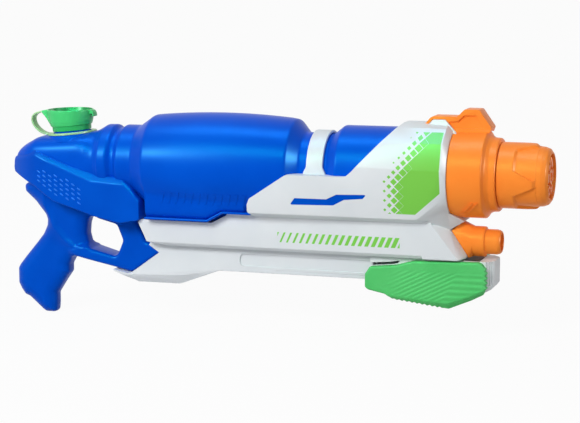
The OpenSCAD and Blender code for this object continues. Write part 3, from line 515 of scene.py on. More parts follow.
def grown(obj, tree, **values):
    # puts the tree on an object, sets its inputs by their identifiers and keeps the plain mesh that comes out
    mod = obj.modifiers.new(tree.name, "NODES")
    mod.node_group = tree
    for item in tree.interface.items_tree:
        label = item.name.replace(" ", "_").lower()
        if item.in_out == "INPUT" and label in values:
            mod[item.identifier] = values[label]
    return settle(obj)


print("tree helpers ready")

# %% [markdown]
# ## Moulded plastic
# Each colour is a dyed plastic: glossy on the blown tank, duller on the grey-white shells, waxy on the soft
# cap. All share the same slight cloudiness of dye and the fine grain that a steel mould leaves, so one
# function makes them and takes the colour, the gloss and the grain. A pattern may change colour, roughness
# and height. Three patterns paint a highlight or shade into the colour.

# %% One function for every plastic
GRAIN_SCALE = 850.0
GRAIN_DEPTH = 0.0004
MATT_BY_CLOUD = 0.12
MATT_BY_GRAIN = 0.08


def paint(red, green, blue):
    # a colour as the eye names it, 0 to 255, turned to the light values that Blender mixes
    def linear(v):
        v = v / 255.0
        return v / 12.92 if v <= 0.04045 else ((v + 0.055) / 1.055) ** 2.4
    return (linear(red), linear(green), linear(blue), 1.0)


def plastic(name, tint, shade, rough, grain=0.03, cloud=14.0, gloss=0.5, sheen=(1, 1, 1), pattern=None):
    mat = bpy.data.materials.new(name)
    mat.use_nodes = True
    tree = mat.node_tree
    shader = tree.nodes["Principled BSDF"]
    pen = Wire(tree)
    place = pen.add("ShaderNodeTexCoord", {}, {}, "Object")
    clouds = {"Vector": place, "Scale": cloud, "Detail": 3.0, "Roughness": 0.55}
    dye = pen.add("ShaderNodeTexNoise", {}, clouds)
    height = pen.add("ShaderNodeTexNoise", {}, {"Vector": place, "Scale": GRAIN_SCALE, "Detail": 2.0})
    colour = dye.step(0.3, 0.7).blend(shade, tint)
    matt = rough + (dye - 0.5) * MATT_BY_CLOUD + (height - 0.5) * MATT_BY_GRAIN
    if pattern:
        colour, matt, height = pattern(pen, place, colour, matt, height)
    bump = pen.add("ShaderNodeBump", {}, {"Strength": grain, "Distance": GRAIN_DEPTH, "Height": height})
    tree.links.new(colour.socket, shader.inputs["Base Color"])
    tree.links.new(matt.socket, shader.inputs["Roughness"])
    tree.links.new(bump.socket, shader.inputs["Normal"])
    shader.inputs["Specular IOR Level"].default_value = gloss
    shader.inputs["Specular Tint"].default_value = (*sheen, 1.0)
    return mat


print("a middle grey as light:", [round(v, 3) for v in paint(128, 128, 128)])

# %% Painted highlight and shade on the grip, the cap and the face plate
# a paler blue for the painted highlight on the dashes; deeper greens and red for painted shade on the cap and
# face plate
HIGHLIGHT_BLUE = paint(46, 116, 222)
SKIRT_SHADE_GREEN = paint(48, 172, 96)
DISH_SHADE_GREEN = paint(34, 138, 76)
HOLLOW_SHADE_RED = paint(206, 62, 30)
DISH_R = 27.2
DISH_FLOOR = 21.0
SKIRT_TOP = 9.4
HOLLOWS = (0.6172, 0.6198)


def paint_dash_highlight(pen, place, colour, matt, height):
    # painted highlight: the dashes are coloured paler, as if light caught them; the tree that makes them
    # marks their points
    gleam_mask = pen.add("ShaderNodeAttribute", {"attribute_name": "rubbed"}, {}, "Fac")
    return gleam_mask.blend(colour, HIGHLIGHT_BLUE), matt, height


def paint_bowl_shade(pen, place, colour, matt, height):
    # painted shade: the dish and the skirt of the cap are coloured a deeper green, as if in their own shade
    foot = TO_METRES @ NECK.to_translation()
    lean = {"Vector": place, "Location": foot, "Rotation": (0.0, -NECK_LEAN, 0.0)}
    local = pen.add("ShaderNodeMapping", {"vector_type": "TEXTURE"}, lean)
    x, y, z = (local.part(axis) * 1000.0 for axis in "XYZ")
    radius = pen.maths("SQRT", x * x + y * y)
    in_dish = (DISH_R - radius).step(0.0, 0.6) * z.step(DISH_FLOOR, DISH_FLOOR + 0.5)
    on_skirt = (SKIRT_TOP - z).step(0.0, 0.5)
    return in_dish.blend(on_skirt.blend(colour, SKIRT_SHADE_GREEN), DISH_SHADE_GREEN), matt, height


def paint_hollow_shade(pen, place, colour, matt, height):
    # painted shade: the hollows of the face plate are coloured a deeper red, as less light reaches them
    return place.part("X").step(*HOLLOWS).blend(HOLLOW_SHADE_RED, colour), matt, height


print("patterns:", [pattern.__name__ for pattern in (paint_dash_highlight, paint_bowl_shade, paint_hollow_shade)])

# %% Print on the white shell
LIME = paint(120, 200, 74)
DIAMOND = 11.0
# half the side of the smallest diamond, as a share of the grid's step, and its growth over the fade
SMALLEST = 0.1
GROWTH = 0.44
PANEL_TOP = 50.0
PANEL_FOOT = -43.0
PANEL_FRONT = 503.5
# the panel's lower front corner is cut off along a slanting line
CORNER_X = 523.0
CORNER_SLOPE = 1.113
FADE_START = 436.0
FADE_RUN = 24.0
# above this height the faded edge leans forward
LEAN_FROM = -6.0
LEAN = 0.62
STRIPES = (306.0, 454.0)
STRIPE_MID = -79.0
STRIPE_TALL = 12.0
STRIPE_PITCH = 8.0
STRIPE_SLANT = 0.45
# ink lies only on the fork's outer skin and on the band's flat side
FORK_SKIN_R = 53.0
BAND_SKIN_Y = 36.4


def printed(pen, place, colour, matt, height):
    # a lime panel that breaks up into ever smaller diamonds towards the rear, and a row of slanted stripes
    x = place.part("X") * 1000.0
    y = pen.maths("ABSOLUTE", place.part("Y") * 1000.0)
    z = place.part("Z") * 1000.0 - AXIS_HEIGHT
    rising = (x + z) * (1.0 / DIAMOND)
    falling = (x - z) * (1.0 / DIAMOND)
    row = pen.maths("FLOOR", rising)
    column = pen.maths("FLOOR", falling)
    middle_x = (row + column + 1.0) * (0.5 * DIAMOND)
    middle_z = (row - column) * (0.5 * DIAMOND)
    off_row = pen.maths("ABSOLUTE", rising - row - 0.5)
    off_column = pen.maths("ABSOLUTE", falling - column - 0.5)
    off = pen.maths("MAXIMUM", off_row, off_column)
    lean = pen.maths("MAXIMUM", middle_z - LEAN_FROM, 0.0) * LEAN
    size = (middle_x - lean - FADE_START) * (GROWTH / FADE_RUN) + SMALLEST
    diamonds = (size - off).step(-0.02, 0.02) * size.step(SMALLEST, 0.12)
    panel = diamonds * z.step(PANEL_FOOT - 0.3, PANEL_FOOT + 0.3) * (PANEL_TOP - z).step(-0.3, 0.3)
    panel = panel * (PANEL_FRONT - x).step(-0.3, 0.3) * (CORNER_X - x + z * CORNER_SLOPE).step(-0.4, 0.4)
    panel = panel * pen.maths("SQRT", y * y + z * z).step(FORK_SKIN_R, FORK_SKIN_R + 0.4)
    lane = (x - z * STRIPE_SLANT) * (1.0 / STRIPE_PITCH)
    along = (x - STRIPES[0]) * (1.0 / (STRIPES[1] - STRIPES[0]))
    off_lane = pen.maths("ABSOLUTE", lane - pen.maths("FLOOR", lane) - 0.5)
    # the stripes grow wider along the row
    bar = (along * 0.2 + 0.14 - off_lane).step(-0.03, 0.03)
    bar = bar * (STRIPE_TALL / 2.0 - pen.maths("ABSOLUTE", z - STRIPE_MID)).step(-0.25, 0.25)
    bar = bar * along.step(0.0, 0.001) * (1.0 - along).step(0.0, 0.001)
    bar = bar * y.step(BAND_SKIN_Y, BAND_SKIN_Y + 0.2)
    ink = pen.maths("MAXIMUM", panel, bar)
    return ink.blend(colour, LIME), matt - ink * 0.06, height


print("printed stripes:", int((STRIPES[1] - STRIPES[0]) / STRIPE_PITCH))

# %% The plastics
SEA = (0.04, 0.56, 1.0)
FLAME = (1.0, 0.55, 0.25)
LEAF = (0.45, 1.0, 0.6)
SHELL_DYE = {"tint": paint(219, 223, 226), "shade": paint(213, 218, 222), "rough": 0.42, "gloss": 0.17}
TANK_BLUE = plastic("tank_blue", paint(0, 80, 204), paint(0, 73, 196), 0.33, 0.015, 9.0, 0.12, SEA)
# the grip's finish paints a highlight onto the raised dashes
GRIP_BLUE = plastic("grip_blue", paint(0, 78, 197), paint(0, 72, 189), 0.32, 0.05, gloss=0.14, sheen=SEA,
                    pattern=paint_dash_highlight)
SHELL_WHITE = plastic("shell_white", **SHELL_DYE)
SHELL_PRINT = plastic("shell_print", **SHELL_DYE, pattern=printed)
ORANGE = plastic("nozzle_orange", paint(255, 146, 56), paint(252, 137, 50), 0.36, gloss=0.1, sheen=FLAME)
# the face plate's finish paints shade into its hollows
FACE_ORANGE = plastic("face_orange", paint(254, 138, 56), paint(250, 128, 50), 0.36, gloss=0.2, sheen=FLAME,
                      pattern=paint_hollow_shade)
PAD_GREEN = plastic("pad_green", paint(88, 196, 110), paint(78, 187, 101), 0.5, 0.06, gloss=0.17, sheen=LEAF)
# the cap's finish paints shade into its dish and skirt
CAP_GREEN = plastic("cap_green", paint(74, 206, 120), paint(64, 197, 110), 0.3, 0.02, gloss=0.22, sheen=LEAF,
                    pattern=paint_bowl_shade)
TETHER_GREEN = plastic("tether_green", paint(162, 208, 148), paint(150, 198, 136), 0.35, 0.02, gloss=0.28)
INNER_GREY = plastic("inner_grey", paint(150, 154, 160), paint(138, 142, 150), 0.45)
RUBBER = plastic("seal_rubber", paint(34, 34, 36), paint(26, 26, 28), 0.7, 0.12)
STEEL = plastic("screw_steel", paint(190, 192, 196), paint(172, 175, 180), 0.32, 0.05, 60.0)
STEEL.node_tree.nodes["Principled BSDF"].inputs["Metallic"].default_value = 1.0
print("finishes:", len(bpy.data.materials))

# %% [markdown]
# ## The tank
# The water tank is blown from one tube of soft plastic, so its form is round almost everywhere and every
# change of radius rolls over gently. It could be one lathe curve, but the rear end flattens to an oval, the
# flanks are flatter low down, and a sump hangs below the barrel. So it is lofted: one ring for each
# station, with its own half width, half height and centre.

# %% Stations of the tank
BARREL = (143.0, 319.0)
BARREL_R = 61.95
BARREL_END_R = 57.5
RING_SIDES = 240
TAIL = -38.8
NOSE = 492.0
# the oval rear end runs into the turned part between these stations
TURN_FROM = 60.0
OVAL_TO = 75.0
FLANK = 49.0
SUMP = 35.0
# station and depth of the floor below the axis, then where the form begins and ends
FLANK_FLOOR = [(222.0, 62.0), (240.0, 51.6)]
SUMP_FLOOR = [(224.5, 65.8), (243.5, 55.8)]
FLANK_ENDS = (139.0, 144.0, 270.0, 280.0)
SUMP_ENDS = (147.0, 151.0, 295.0, 299.0)
# how square a section is: a round one has a power of 2, and the rear end adds a little to that
FLANK_POWER = 12
SUMP_POWER = 10
REAR_EXTRA = 1.4
# how widely two forms flow into each other
OVAL_BLEND = 2.0
FLANK_BLEND = 3.0
# station, half width, half height, centre height of the oval rear end
REAR = [(TAIL, 14.0, 7.0, -5.0), (-38.0, 17.0, 10.0, -5.0), (-33.5, 23.0, 14.3, -3.0),
        (-25.0, 29.0, 20.0, -2.0), (-16.6, 34.0, 24.0, -1.4), (-7.0, 37.0, 27.6, -0.4),
        (20.0, 38.7, 30.0, 0.0), (45.0, 39.2, 32.4, 0.0), (OVAL_TO, 40.0, 36.6, 0.0)]


def crown(x):
    u = (x - sum(BARREL) / 2.0) / ((BARREL[1] - BARREL[0]) / 2.0)
    return BARREL_R - (BARREL_R - BARREL_END_R) * u * u


# station, radius and corner rounding of the turned part
TURNED = [(TURN_FROM, 32.0, 0), (66.0, 35.0, 7), (79.5, 43.7, 4), (90.0, 44.0, 4), (94.5, 39.4, 3),
          (99.0, 39.4, 3), (103.5, 43.9, 4), (123.0, 44.0, 7), (141.5, 57.2, 9)]
TURNED += [(x, crown(x), 0) for x in np.linspace(152.0, 312.0, 12)]
TURNED += [(320.0, 56.9, 6), (333.0, 42.0, 6), (366.0, 41.2, 7), (379.0, 51.6, 5), (NOSE, 52.0, 0)]
print("tank stations:", len(REAR) + len(TURNED))

# %% Rings of the tank
def flow(xs, values, at):
    # a smooth curve through the typed stations that never overshoots them
    h = np.diff(xs)
    d = np.diff(values) / h
    m = np.zeros(len(xs))
    m[0] = d[0]
    m[-1] = d[-1]
    same = d[:-1] * d[1:] > 0
    m[1:-1] = np.where(same, 2.0 * d[:-1] * d[1:] / np.where(same, d[:-1] + d[1:], 1.0), 0.0)
    i = np.clip(np.searchsorted(xs, at) - 1, 0, len(h) - 1)
    t = (at - xs[i]) / h[i]
    first = (1 + 2 * t) * (1 - t) ** 2 * values[i] + t * (1 - t) ** 2 * h[i] * m[i]
    return first + t * t * (3 - 2 * t) * values[i + 1] + t * t * (t - 1) * h[i] * m[i + 1]


def squarish(angle, wide, high, power):
    # radius of an oval, squarer the higher the power
    return (np.abs(np.cos(angle) / wide) ** power + np.abs(np.sin(angle) / high) ** power) ** (-1.0 / power)


def soft_max(a, b, blend):
    return 0.5 * (a + b + np.sqrt((a - b) ** 2 + blend ** 2))


def tank_rings(grow, sides):
    # grow moves the skin outwards, or inwards for the hollow
    profile = rounded(TURNED, closed=False)
    xs = np.concatenate([np.linspace(TAIL, -29.0, 14), np.arange(-28.0, TURN_FROM, 3.0),
                         np.arange(TURN_FROM, 152.0, 1.0), np.arange(152.0, 312.0, 4.0),
                         np.arange(312.0, 384.0, 1.0), np.linspace(384.0, NOSE, 14)])
    rear = np.array(REAR)
    wide, high, mid = (flow(rear[:, 0], rear[:, k], np.minimum(xs, OVAL_TO)) for k in (1, 2, 3))
    radius = np.interp(xs, profile[:, 0], profile[:, 1])
    radius[xs < TURN_FROM] = 0.0
    half = []
    for oval in (wide, high):
        merged = np.where(xs > OVAL_TO + 1.0, radius, soft_max(oval, radius, OVAL_BLEND))
        half.append(np.where(xs < TURN_FROM, oval, merged))
    angle = full_turn(sides)
    under = smooth_step(0.2, 0.5, -np.sin(angle)) * FLANK_BLEND
    rings = []
    for x, a, b, c in zip(xs, *half, np.where(xs > TURN_FROM, 0.0, mid)):
        # the rear end is a squarish oval, the rest is round
        power = 2.0 + REAR_EXTRA * float(1.0 - smooth_step(48.0, 74.0, x))
        reach = squarish(angle, a + grow, b + grow, power)
        flank = squarish(angle, FLANK + grow, float(on_line(FLANK_FLOOR, x)) + grow, FLANK_POWER)
        flank = flank * float(stretch(x, *FLANK_ENDS))
        reach = np.where((flank > 20.0) & (under > 0.0), soft_max(reach, flank, under), reach)
        sump = squarish(angle, SUMP + grow, float(on_line(SUMP_FLOOR, x)) + grow, SUMP_POWER)
        sump = np.where(np.sin(angle) < 0.0, sump * float(stretch(x, *SUMP_ENDS)), 0.0)
        reach = np.maximum(reach, sump)
        if x < TAIL + 0.1:
            x = x - grow
        elif x > NOSE - 1.0:
            x = x + max(grow, 0.0)
        rings.append([(x, r * math.cos(t), c + r * math.sin(t)) for r, t in zip(reach, angle)])
    return rings


print("rings of the tank:", len(tank_rings(0.0, 12)))

# %% Wall, neck and bore of the tank
WALL = 2.0
CLEAR = 0.4
BORE_R = 16.0
# height above the neck's foot and radius
SEAT = [(-9.0, 0.0), (-9.0, 34.5), (-6.0, 32.3), (-4.0, 31.2), (-2.6, 30.6), (-2.0, 30.2), (-1.7, 29.4),
        (-1.7, 0.0)]
NECK_WALL = [(-3.0, 0.0), (-3.0, 23.0), (1.6, 23.0), (2.0, 22.1), (5.4, 22.1), (6.0, 21.6), (6.1, 19.0),
             (8.6, 19.0), (9.4, 19.3), (10.2, 19.0), (16.6, 19.0), (17.3, 18.6), (17.5, 17.9), (17.5, 0.0)]
LIP = [(143, -63.4), (223, -63.4), (241.5, -52.7), (277, -52.7), (277, -50.2), (240.5, -50.2), (222, -60.8),
       (143, -60.8)]
LIP_HALF = FLANK + 1.2
tank = lofted("tank_body", tank_rings(0.0, RING_SIDES))
rim = plate("rim", LIP, -LIP_HALF, LIP_HALF)
soften(rim, 0.9)
carve(tank, rim, "UNION")
carve(tank, turned("seat", SEAT, 96, NECK, False), "UNION")
carve(tank, turned("neck", NECK_WALL, 96, NECK, False), "UNION")
carve(tank, lofted("hollow", tank_rings(-WALL, 72)))
carve(tank, rod("bore", -20.0, 30.0, BORE_R, 96, NECK))
print("tank faces:", len(tank.data.polygons))

# %% [markdown]
# ## Raised bars that follow a skin
# The tank carries a row of raised bars, and the collar has small ridges. Both are the same idea: a row of
# slanted bars thrown onto a skin. A Geometry Nodes tree makes flat bars beside the toy, shoots each of
# their points at the skin with a ray, and thickens what lands there. Its named inputs set count, pitch,
# size, slant and side.

# %% A tree for raised bars
SINK = 0.3
SIZES = {"Side": "Float", "Start": "Vector", "Count": "Int", "Pitch": "Float", "Wide": "Float",
         "Tall": "Float", "Slant": "Float", "Lift": "Float", "Material": "Material"}
bars_tree, pen, wire = grove("raised_bars", SIZES)
level = wire["Start"].part("Z")
beside = pen.vector(X=wire["Start"].part("X"), Y=wire["Side"] * BESIDE, Z=level)
stride = pen.vector(X=wire["Pitch"])
places = {"Count": wire["Count"], "Start Location": beside, "Offset": stride}
row = pen.add("GeometryNodeMeshLine", {}, places)
grid = {"Size X": wire["Wide"], "Size Y": wire["Tall"], "Vertices X": 3, "Vertices Y": 13}
bar = pen.add("GeometryNodeMeshGrid", {}, grid)
upright = pen.add("GeometryNodeTransform", {}, {"Geometry": bar, "Rotation": (math.radians(90.0), 0.0, 0.0)})
bars = pen.add("GeometryNodeInstanceOnPoints", {}, {"Points": row, "Instance": upright})
bars = pen.add("GeometryNodeRealizeInstances", {}, {"Geometry": bars})
height = pen.add("GeometryNodeInputPosition", {}, {}).part("Z") - level
shear = pen.vector(X=height * wire["Slant"])
bars = pen.add("GeometryNodeSetPosition", {}, {"Geometry": bars, "Offset": shear})
landed = landing(pen, wire["Geometry"], wire["Side"])
under = pen.vector(Y=wire["Side"] * -SINK)
bars = pen.add("GeometryNodeSetPosition", {}, {"Geometry": bars, "Position": landed, "Offset": under})
outward = pen.vector(Y=wire["Side"])
lift = {"Mesh": bars, "Offset": outward, "Offset Scale": wire["Lift"] + SINK, "Individual": False}
top = pen.add("GeometryNodeExtrudeMesh", {}, lift)
foot = pen.add("GeometryNodeFlipFaces", {}, {"Mesh": bars})
solid = pen.add("GeometryNodeMergeByDistance", {}, {"Geometry": joined(pen, top, foot), "Distance": 0.001})
close_tree(pen, joined(pen, wire["Geometry"], solid), wire["Material"])
for side in SIDES:
    grown(tank, bars_tree, side=side, start=(166.0, 0.0, -36.0), count=12, pitch=9.3, wide=4.6, tall=14.0,
          slant=0.35, lift=0.5, material=TANK_BLUE)
hand_over(tank, "frame", "blue_plastic", TANK_BLUE, "tank")

# %% [markdown]
# ## The grip
# The grip is a pair of hollow halves screwed together on the middle line. Each half has three moods: a
# handle as round as a palm, a flat finger guard with a narrow rim, and a cheek that reaches out and carries
# the tank. Handle and guard are one crowned plate whose rim rolls wide on the handle and tight on the
# guard, with a sunk panel between them. The cheek is a second crowned plate with a sloping shelf along its
# upper edge. Both are joined and cut to the tank's form.

# %% Handle and guard
GUARD_TIP = (150, -108)
GRIP = [(-7, -193), (7, -193), (8, -181), (8, -169), (18, -153), (26, -141), (26, -132), (31, -121),
        (37, -118.5), (87, -129.5), (110, -134.3), (114, -133.8), GUARD_TIP, (134, -97.3), (131, -97),
        (119, -74), (121, -56), (60, -40), (-14, -22), (-33, -34), (-32, -42.5), (-17, -55), (-4, -70),
        (-2, -76), (-3, -83), (-9, -95), (-17, -105), (-33, -124), (-41, -134), (-44, -139), (-44, -158),
        (-40, -166), (-35, -173), (-29, -175), (-11, -190.5)]
GRIP_ROUND = [1.5 if point == GUARD_TIP else 5.0 for point in GRIP]
FINGER = [(58, -108.5), (89, -116.5), (94, -114), (101, -97), (93, -77.5), (63, -70), (54, -70.5), (51, -80),
          (50, -92), (53, -103)]
GRIP_HALF = 19.0
# both halves stop just short of the middle
MIDDLE = -0.05
MESH_STEP = 1.7
# the crease between the palm and the sunk panel as height and station, and the ledge under the panel
CREASE = [(-107.5, 35), (-97, 22), (-82.6, 10), (-66.8, 2.4), (-58, -2)]
LEDGE = [(35, -107.5), (45.8, -105.7), (60.5, -101.3), (64, -100)]
PALM_FALL = 4.2
PALM_RUN = 30.0
PANEL_SUNK = 2.6
CREASE_RAMP = 9.0
LEDGE_RAMP = 1.8
# width and fall of the rolled rim
HANDLE_ROLL = (16.0, 12.0)
GUARD_ROLL = (4.5, 4.0)
# the station where the guard begins depends on the height
GUARD_FROM = [(-112.0, 26.0), (-103.0, 57.0)]


def grip_depth(points, rim):
    x, z = points[:, 0], points[:, 1]
    crease = on_line(CREASE, z)
    palm = PALM_FALL * (1.0 - (1.0 - np.clip((crease - x) / PALM_RUN, 0.0, 1.0)) ** 2)
    past_crease = np.clip((x - crease) / CREASE_RAMP, 0.0, 1.0)
    over_ledge = np.clip((z - on_line(LEDGE, x)) / LEDGE_RAMP, 0.0, 1.0)
    sunk = np.maximum(np.minimum(past_crease, over_ledge), smooth_step(50.0, 95.0, x))
    tight = smooth_step(0.0, 14.0, x - on_line(GUARD_FROM, z))
    width, fall = (handle + (guard - handle) * tight for handle, guard in zip(HANDLE_ROLL, GUARD_ROLL))
    return -(GRIP_HALF - palm - PANEL_SUNK * sunk - roll(rim, width, fall))


grip = crowned("grip_right_skin", arcs(GRIP, GRIP_ROUND), [arcs(FINGER, 7.0)], grip_depth, MESH_STEP,
               (0.3, 0.9, 1.8, 3.0, 5.0), MIDDLE)
print("handle and guard:", len(grip.data.polygons), "faces")

# %% Cheek
CHEEK = [(-39.5, -11), (-38, -16), (-31, -19), (-15, -26), (-4, -30.5), (22, -47.5), (59, -59), (77, -64.5),
         (109, -71), (134, -66.2), (134, -42), (129.7, -37.7), (122.1, -27.1), (113, -19), (97, -15.3),
         (82, -15), (45, -5), (-5, 13.5), (-30, 6), (-38, 2)]
# where the cheek's flat side ends and its sloping shelf begins
SHELF = [(-40, -2), (-30, 0), (-2.7, 6.8), (32, -6.4), (71, -21.8), (112.7, -24.4), (128.3, -39.4),
         (135, -46)]
SHELF_SLOPE = 0.55
CHEEK_HALF = 44.0
# behind this station the cheek draws in with the tank
TAPER_FROM = 22.0
TAPER_RUN = 65.0
TAPER = 25.5
TAPER_POWER = 2.2
CHEEK_ROLL = (1.2, 1.0)


def cheek_depth(points, rim):
    x, z = points[:, 0], points[:, 1]
    half = CHEEK_HALF - TAPER * np.clip((TAPER_FROM - x) / TAPER_RUN, 0.0, 1.0) ** TAPER_POWER
    line = np.array(SHELF, float)
    from_line = rim_distance(points, [np.vstack([line, line[-2:0:-1]])])
    shelf = np.where(z > on_line(SHELF, x), from_line * SHELF_SLOPE, 0.0)
    return -(half - roll(rim, *CHEEK_ROLL) - shelf)


cheek = crowned("cheek", arcs(CHEEK, 2.5), [], cheek_depth, MESH_STEP, (0.3, 0.8, 1.4), MIDDLE)
carve(grip, cheek, "UNION")
carve(grip, lofted("tank_room", tank_rings(CLEAR, 96)))
print("with the cheek:", len(grip.data.polygons), "faces")

# %% [markdown]
# ## Small dashes on the cheek
# The cheek has a field of small raised dashes in slanting rows. A tree numbers the points of one long line,
# works out each point's row and column, and drops those beyond either end of the field. Each one then lands
# on the skin by a ray and carries a flattened ball, whose points are marked so that the finish can paint
# a highlight on them.

# %% A tree for rows of dashes
SIZES = {"Side": "Float", "Start": "Vector", "Columns": "Int", "Rows": "Int", "Pitch": "Float",
         "Row Pitch": "Float", "Shift": "Float", "Fall": "Float", "Begin": "Float", "End": "Float",
         "Dash": "Vector", "Material": "Material"}
dash_tree, pen, wire = grove("rows_of_dashes", SIZES)
line = pen.add("GeometryNodeMeshLine", {}, {"Count": wire["Columns"] * wire["Rows"]})
number = pen.add("GeometryNodeInputIndex", {}, {})
column = pen.maths("FLOOR", pen.maths("DIVIDE", number, wire["Rows"]))
row = number - column * wire["Rows"]
run = column * wire["Pitch"] + row * wire["Shift"]
height = wire["Start"].part("Z") - (run * wire["Fall"] + row * wire["Row Pitch"])
spot = pen.vector(X=wire["Start"].part("X") + run, Y=wire["Side"] * BESIDE, Z=height)
dots = pen.add("GeometryNodeSetPosition", {}, {"Geometry": line, "Position": spot})
here_x = pen.add("GeometryNodeInputPosition", {}, {}).part("X")
off_field = pen.maths("GREATER_THAN", here_x, wire["End"]) + pen.maths("LESS_THAN", here_x, wire["Begin"])
dots = pen.add("GeometryNodeDeleteGeometry", {}, {"Geometry": dots, "Selection": off_field})
landed = landing(pen, wire["Geometry"], wire["Side"])
dots = pen.add("GeometryNodeSetPosition", {}, {"Geometry": dots, "Position": landed})
ball = pen.add("GeometryNodeMeshUVSphere", {}, {"Segments": 12, "Rings": 8, "Radius": 0.5})
turn = pen.vector(Y=pen.maths("ARCTANGENT", wire["Fall"]))
copies = {"Points": dots, "Instance": ball, "Rotation": turn, "Scale": wire["Dash"]}
dashes = pen.add("GeometryNodeInstanceOnPoints", {}, copies)
dashes = pen.add("GeometryNodeRealizeInstances", {}, {"Geometry": dashes})
# marks the dashes' points, where the grip's finish paints a highlight
mark = {"Geometry": dashes, "Name": "rubbed", "Value": 1.0}
dashes = pen.add("GeometryNodeStoreNamedAttribute", {"data_type": "FLOAT", "domain": "POINT"}, mark)
close_tree(pen, joined(pen, wire["Geometry"], dashes), wire["Material"])

# %% Far half, screw wells and dashes
GRIP_SCREWS = [(-14, -150), (20, -92), (118, -110), (100, -57), (-4, -52)]
HEAD_SEAT = 8.0
WELL_R = 3.6


def sink_wells(half, places, reach):
    # a round well for each screw, from the place of its head out to the side
    for x, z in places:
        carve(half, rod("well", HEAD_SEAT, reach, WELL_R, 32, Matrix.Translation((x, 0.0, z)) @ TO_LEFT))


grip_far = twin(grip, "grip_left_skin")
sink_wells(grip_far, GRIP_SCREWS, 60.0)
for side, half in zip(SIDES, (grip, grip_far)):
    grown(half, dash_tree, side=side, start=(-34.6, 0.0, 1.8), columns=9, rows=6, pitch=7.6, row_pitch=-5.7,
          shift=15.2, fall=0.68, begin=1.0, end=62.0, dash=(5.6, 2.0, 1.8), material=GRIP_BLUE)
hand_over(grip, "frame", "blue_plastic", GRIP_BLUE, "grip_right", angle=38.0)
hand_over(grip_far, "frame", "blue_plastic", GRIP_BLUE, "grip_left", angle=38.0)

# %% [markdown]
# ## The white front shell
# Two faceted halves clamp the tank's front and house the pump. The facets are flat, and their edges are
# only just rounded. Each half starts as convex blocks, cut to the side outline and bevelled. Then they are
# joined, and the tank, the pump's chamber and the slot of its web are cut out. The left half is a mirror
# image with wells for the screws.

# %% Fork of a shell half
SEAM = 2.0
# station, height and corner rounding
FORK = [(275, -39, 4), (275, -47, 5), (280, -56, 5), (511, -56, 0), (511, 64, 0), (457, 64, 4), (402, 5, 10),
        (394, -2, 8), (323, -2, 8), (278, -32, 5)]
SLIT = [(327, -37), (379, -36), (392, -29), (414, -27), (419, -22), (383, -23), (371, -29), (333, -29)]
SLIT_DEPTH = 3.2
FORK_REAR = 275.0
FORK_FULL = 400.0
RING_R = 53.5
# half width and height of the corners at a station
REAR_SECTION = [(-SEAM, -55), (42, -55), (56, -49), (64.5, 11.5), (-SEAM, 11.5)]
FORK_SECTION = [(-SEAM, -55), (38, -55), (50, -49), (58, 11.5), (49, 38.5), (30, 54), (12, 58), (-SEAM, 58)]
CHIN_SECTION = [(-SEAM, -52), (30, -50), (50, -26), (57, 8), (48, 38), (29, 53.5), (11, 57), (-SEAM, 57)]
RING_SECTION = [(RING_R * math.cos(a), RING_R * math.sin(a)) for a in np.radians(np.arange(-90, 91, 11.25))]
RING_SECTION += [(-SEAM, -RING_R), (-SEAM, RING_R)]
STATIONS = [(FORK_REAR, REAR_SECTION), (FORK_FULL, FORK_SECTION), (476.0, FORK_SECTION),
            (505.0, CHIN_SECTION), (510.0, RING_SECTION)]


def slit_floor(x, z):
    # below the shell's flat side, which runs from the rear section to the fork's
    (rear_foot, foot), (rear_top, top) = REAR_SECTION[2:4]
    fork_foot, fork_top = FORK_SECTION[2][0], FORK_SECTION[3][0]
    rise = (z - foot) / (top - foot)
    along = (x - FORK_REAR) / (FORK_FULL - FORK_REAR)
    rear_side = rear_foot + (rear_top - rear_foot) * rise
    fork_side = fork_foot + (fork_top - fork_foot) * rise
    return rear_side * (1.0 - along) + fork_side * along - SLIT_DEPTH


fork = hull_of("shell_right_skin", [(x, -y, z) for x, section in STATIONS for y, z in section])
carve(fork, plate("side", rounded(FORK), -90.0, 10.0), "INTERSECT")
soften(fork, 1.3)
CREST = [(x, y, 47.0) for x in (473, 515) for y in (SEAM, -18.0)]
CREST += [(x, y, 62.8) for x in (485.8, 500.2) for y in (SEAM, -12.8)]
crest = hull_of("crest", CREST)
soften(crest, 0.8)
carve(fork, crest, "UNION")
window = arcs(SLIT, 1.5, steps=3)
slit = [[(x, -90.0, z) for x, z in window], [(x, -slit_floor(x, z), z) for x, z in window]]
carve(fork, lofted("slit", slit))
print("fork:", len(fork.data.polygons), "faces")

# %% Band, wedge and chin
# station, height and corner rounding
BAND = [(130, -69, 2), (141, -92, 3), (165, -96.5, 4), (523, -96.5, 2), (491, -56, 0), (491, -53, 0),
        (243, -53, 0), (243, -56, 1), (224, -66, 2), (134, -66, 2)]
BAND_EDGE = [(SEAM, -96.5), (-33, -96.5), (-37, -92.5), (-37, -52), (SEAM, -52)]
BAND_HALF = 37.0
WEDGE_SIDE = [(480, -56), (491, -56), (523, -96.5), (480, -96.5)]
WEDGE_FRONT = [(480, -57), (505, -57), (529.3, -93.5), (527.3, -96.5)]
WEDGE = [(x, y, z) for y in (SEAM, -36.9) for x, z in WEDGE_SIDE]
WEDGE += [(x, y, z) for y in (SEAM, -20.0) for x, z in WEDGE_FRONT]
# the chin joins the fork's lower front corner to the band and reaches forward under the collar
CHIN = [(483, 37.3, -56.7), (508.6, 20.5, -63.5), (525.0, 14.0, -53.6), (509.6, 33.0, -42.0),
        (493, 42.0, -44.5)]
band = plate("band", rounded(BAND), -BAND_HALF, SEAM)
carve(band, lofted("edge", [[(x, y, z) for y, z in BAND_EDGE] for x in (120.0, 530.0)]), "INTERSECT")
wedge = hull_of("wedge", WEDGE)
chin = hull_of("chin", [(x, y, z) for x, side, z in CHIN for y in (-side, SEAM)])
for block, rounding in ((band, 1.1), (wedge, 1.1), (chin, 0.7)):
    soften(block, rounding)
    carve(fork, block, "UNION")
print("with band, wedge and chin:", len(fork.data.polygons), "faces")

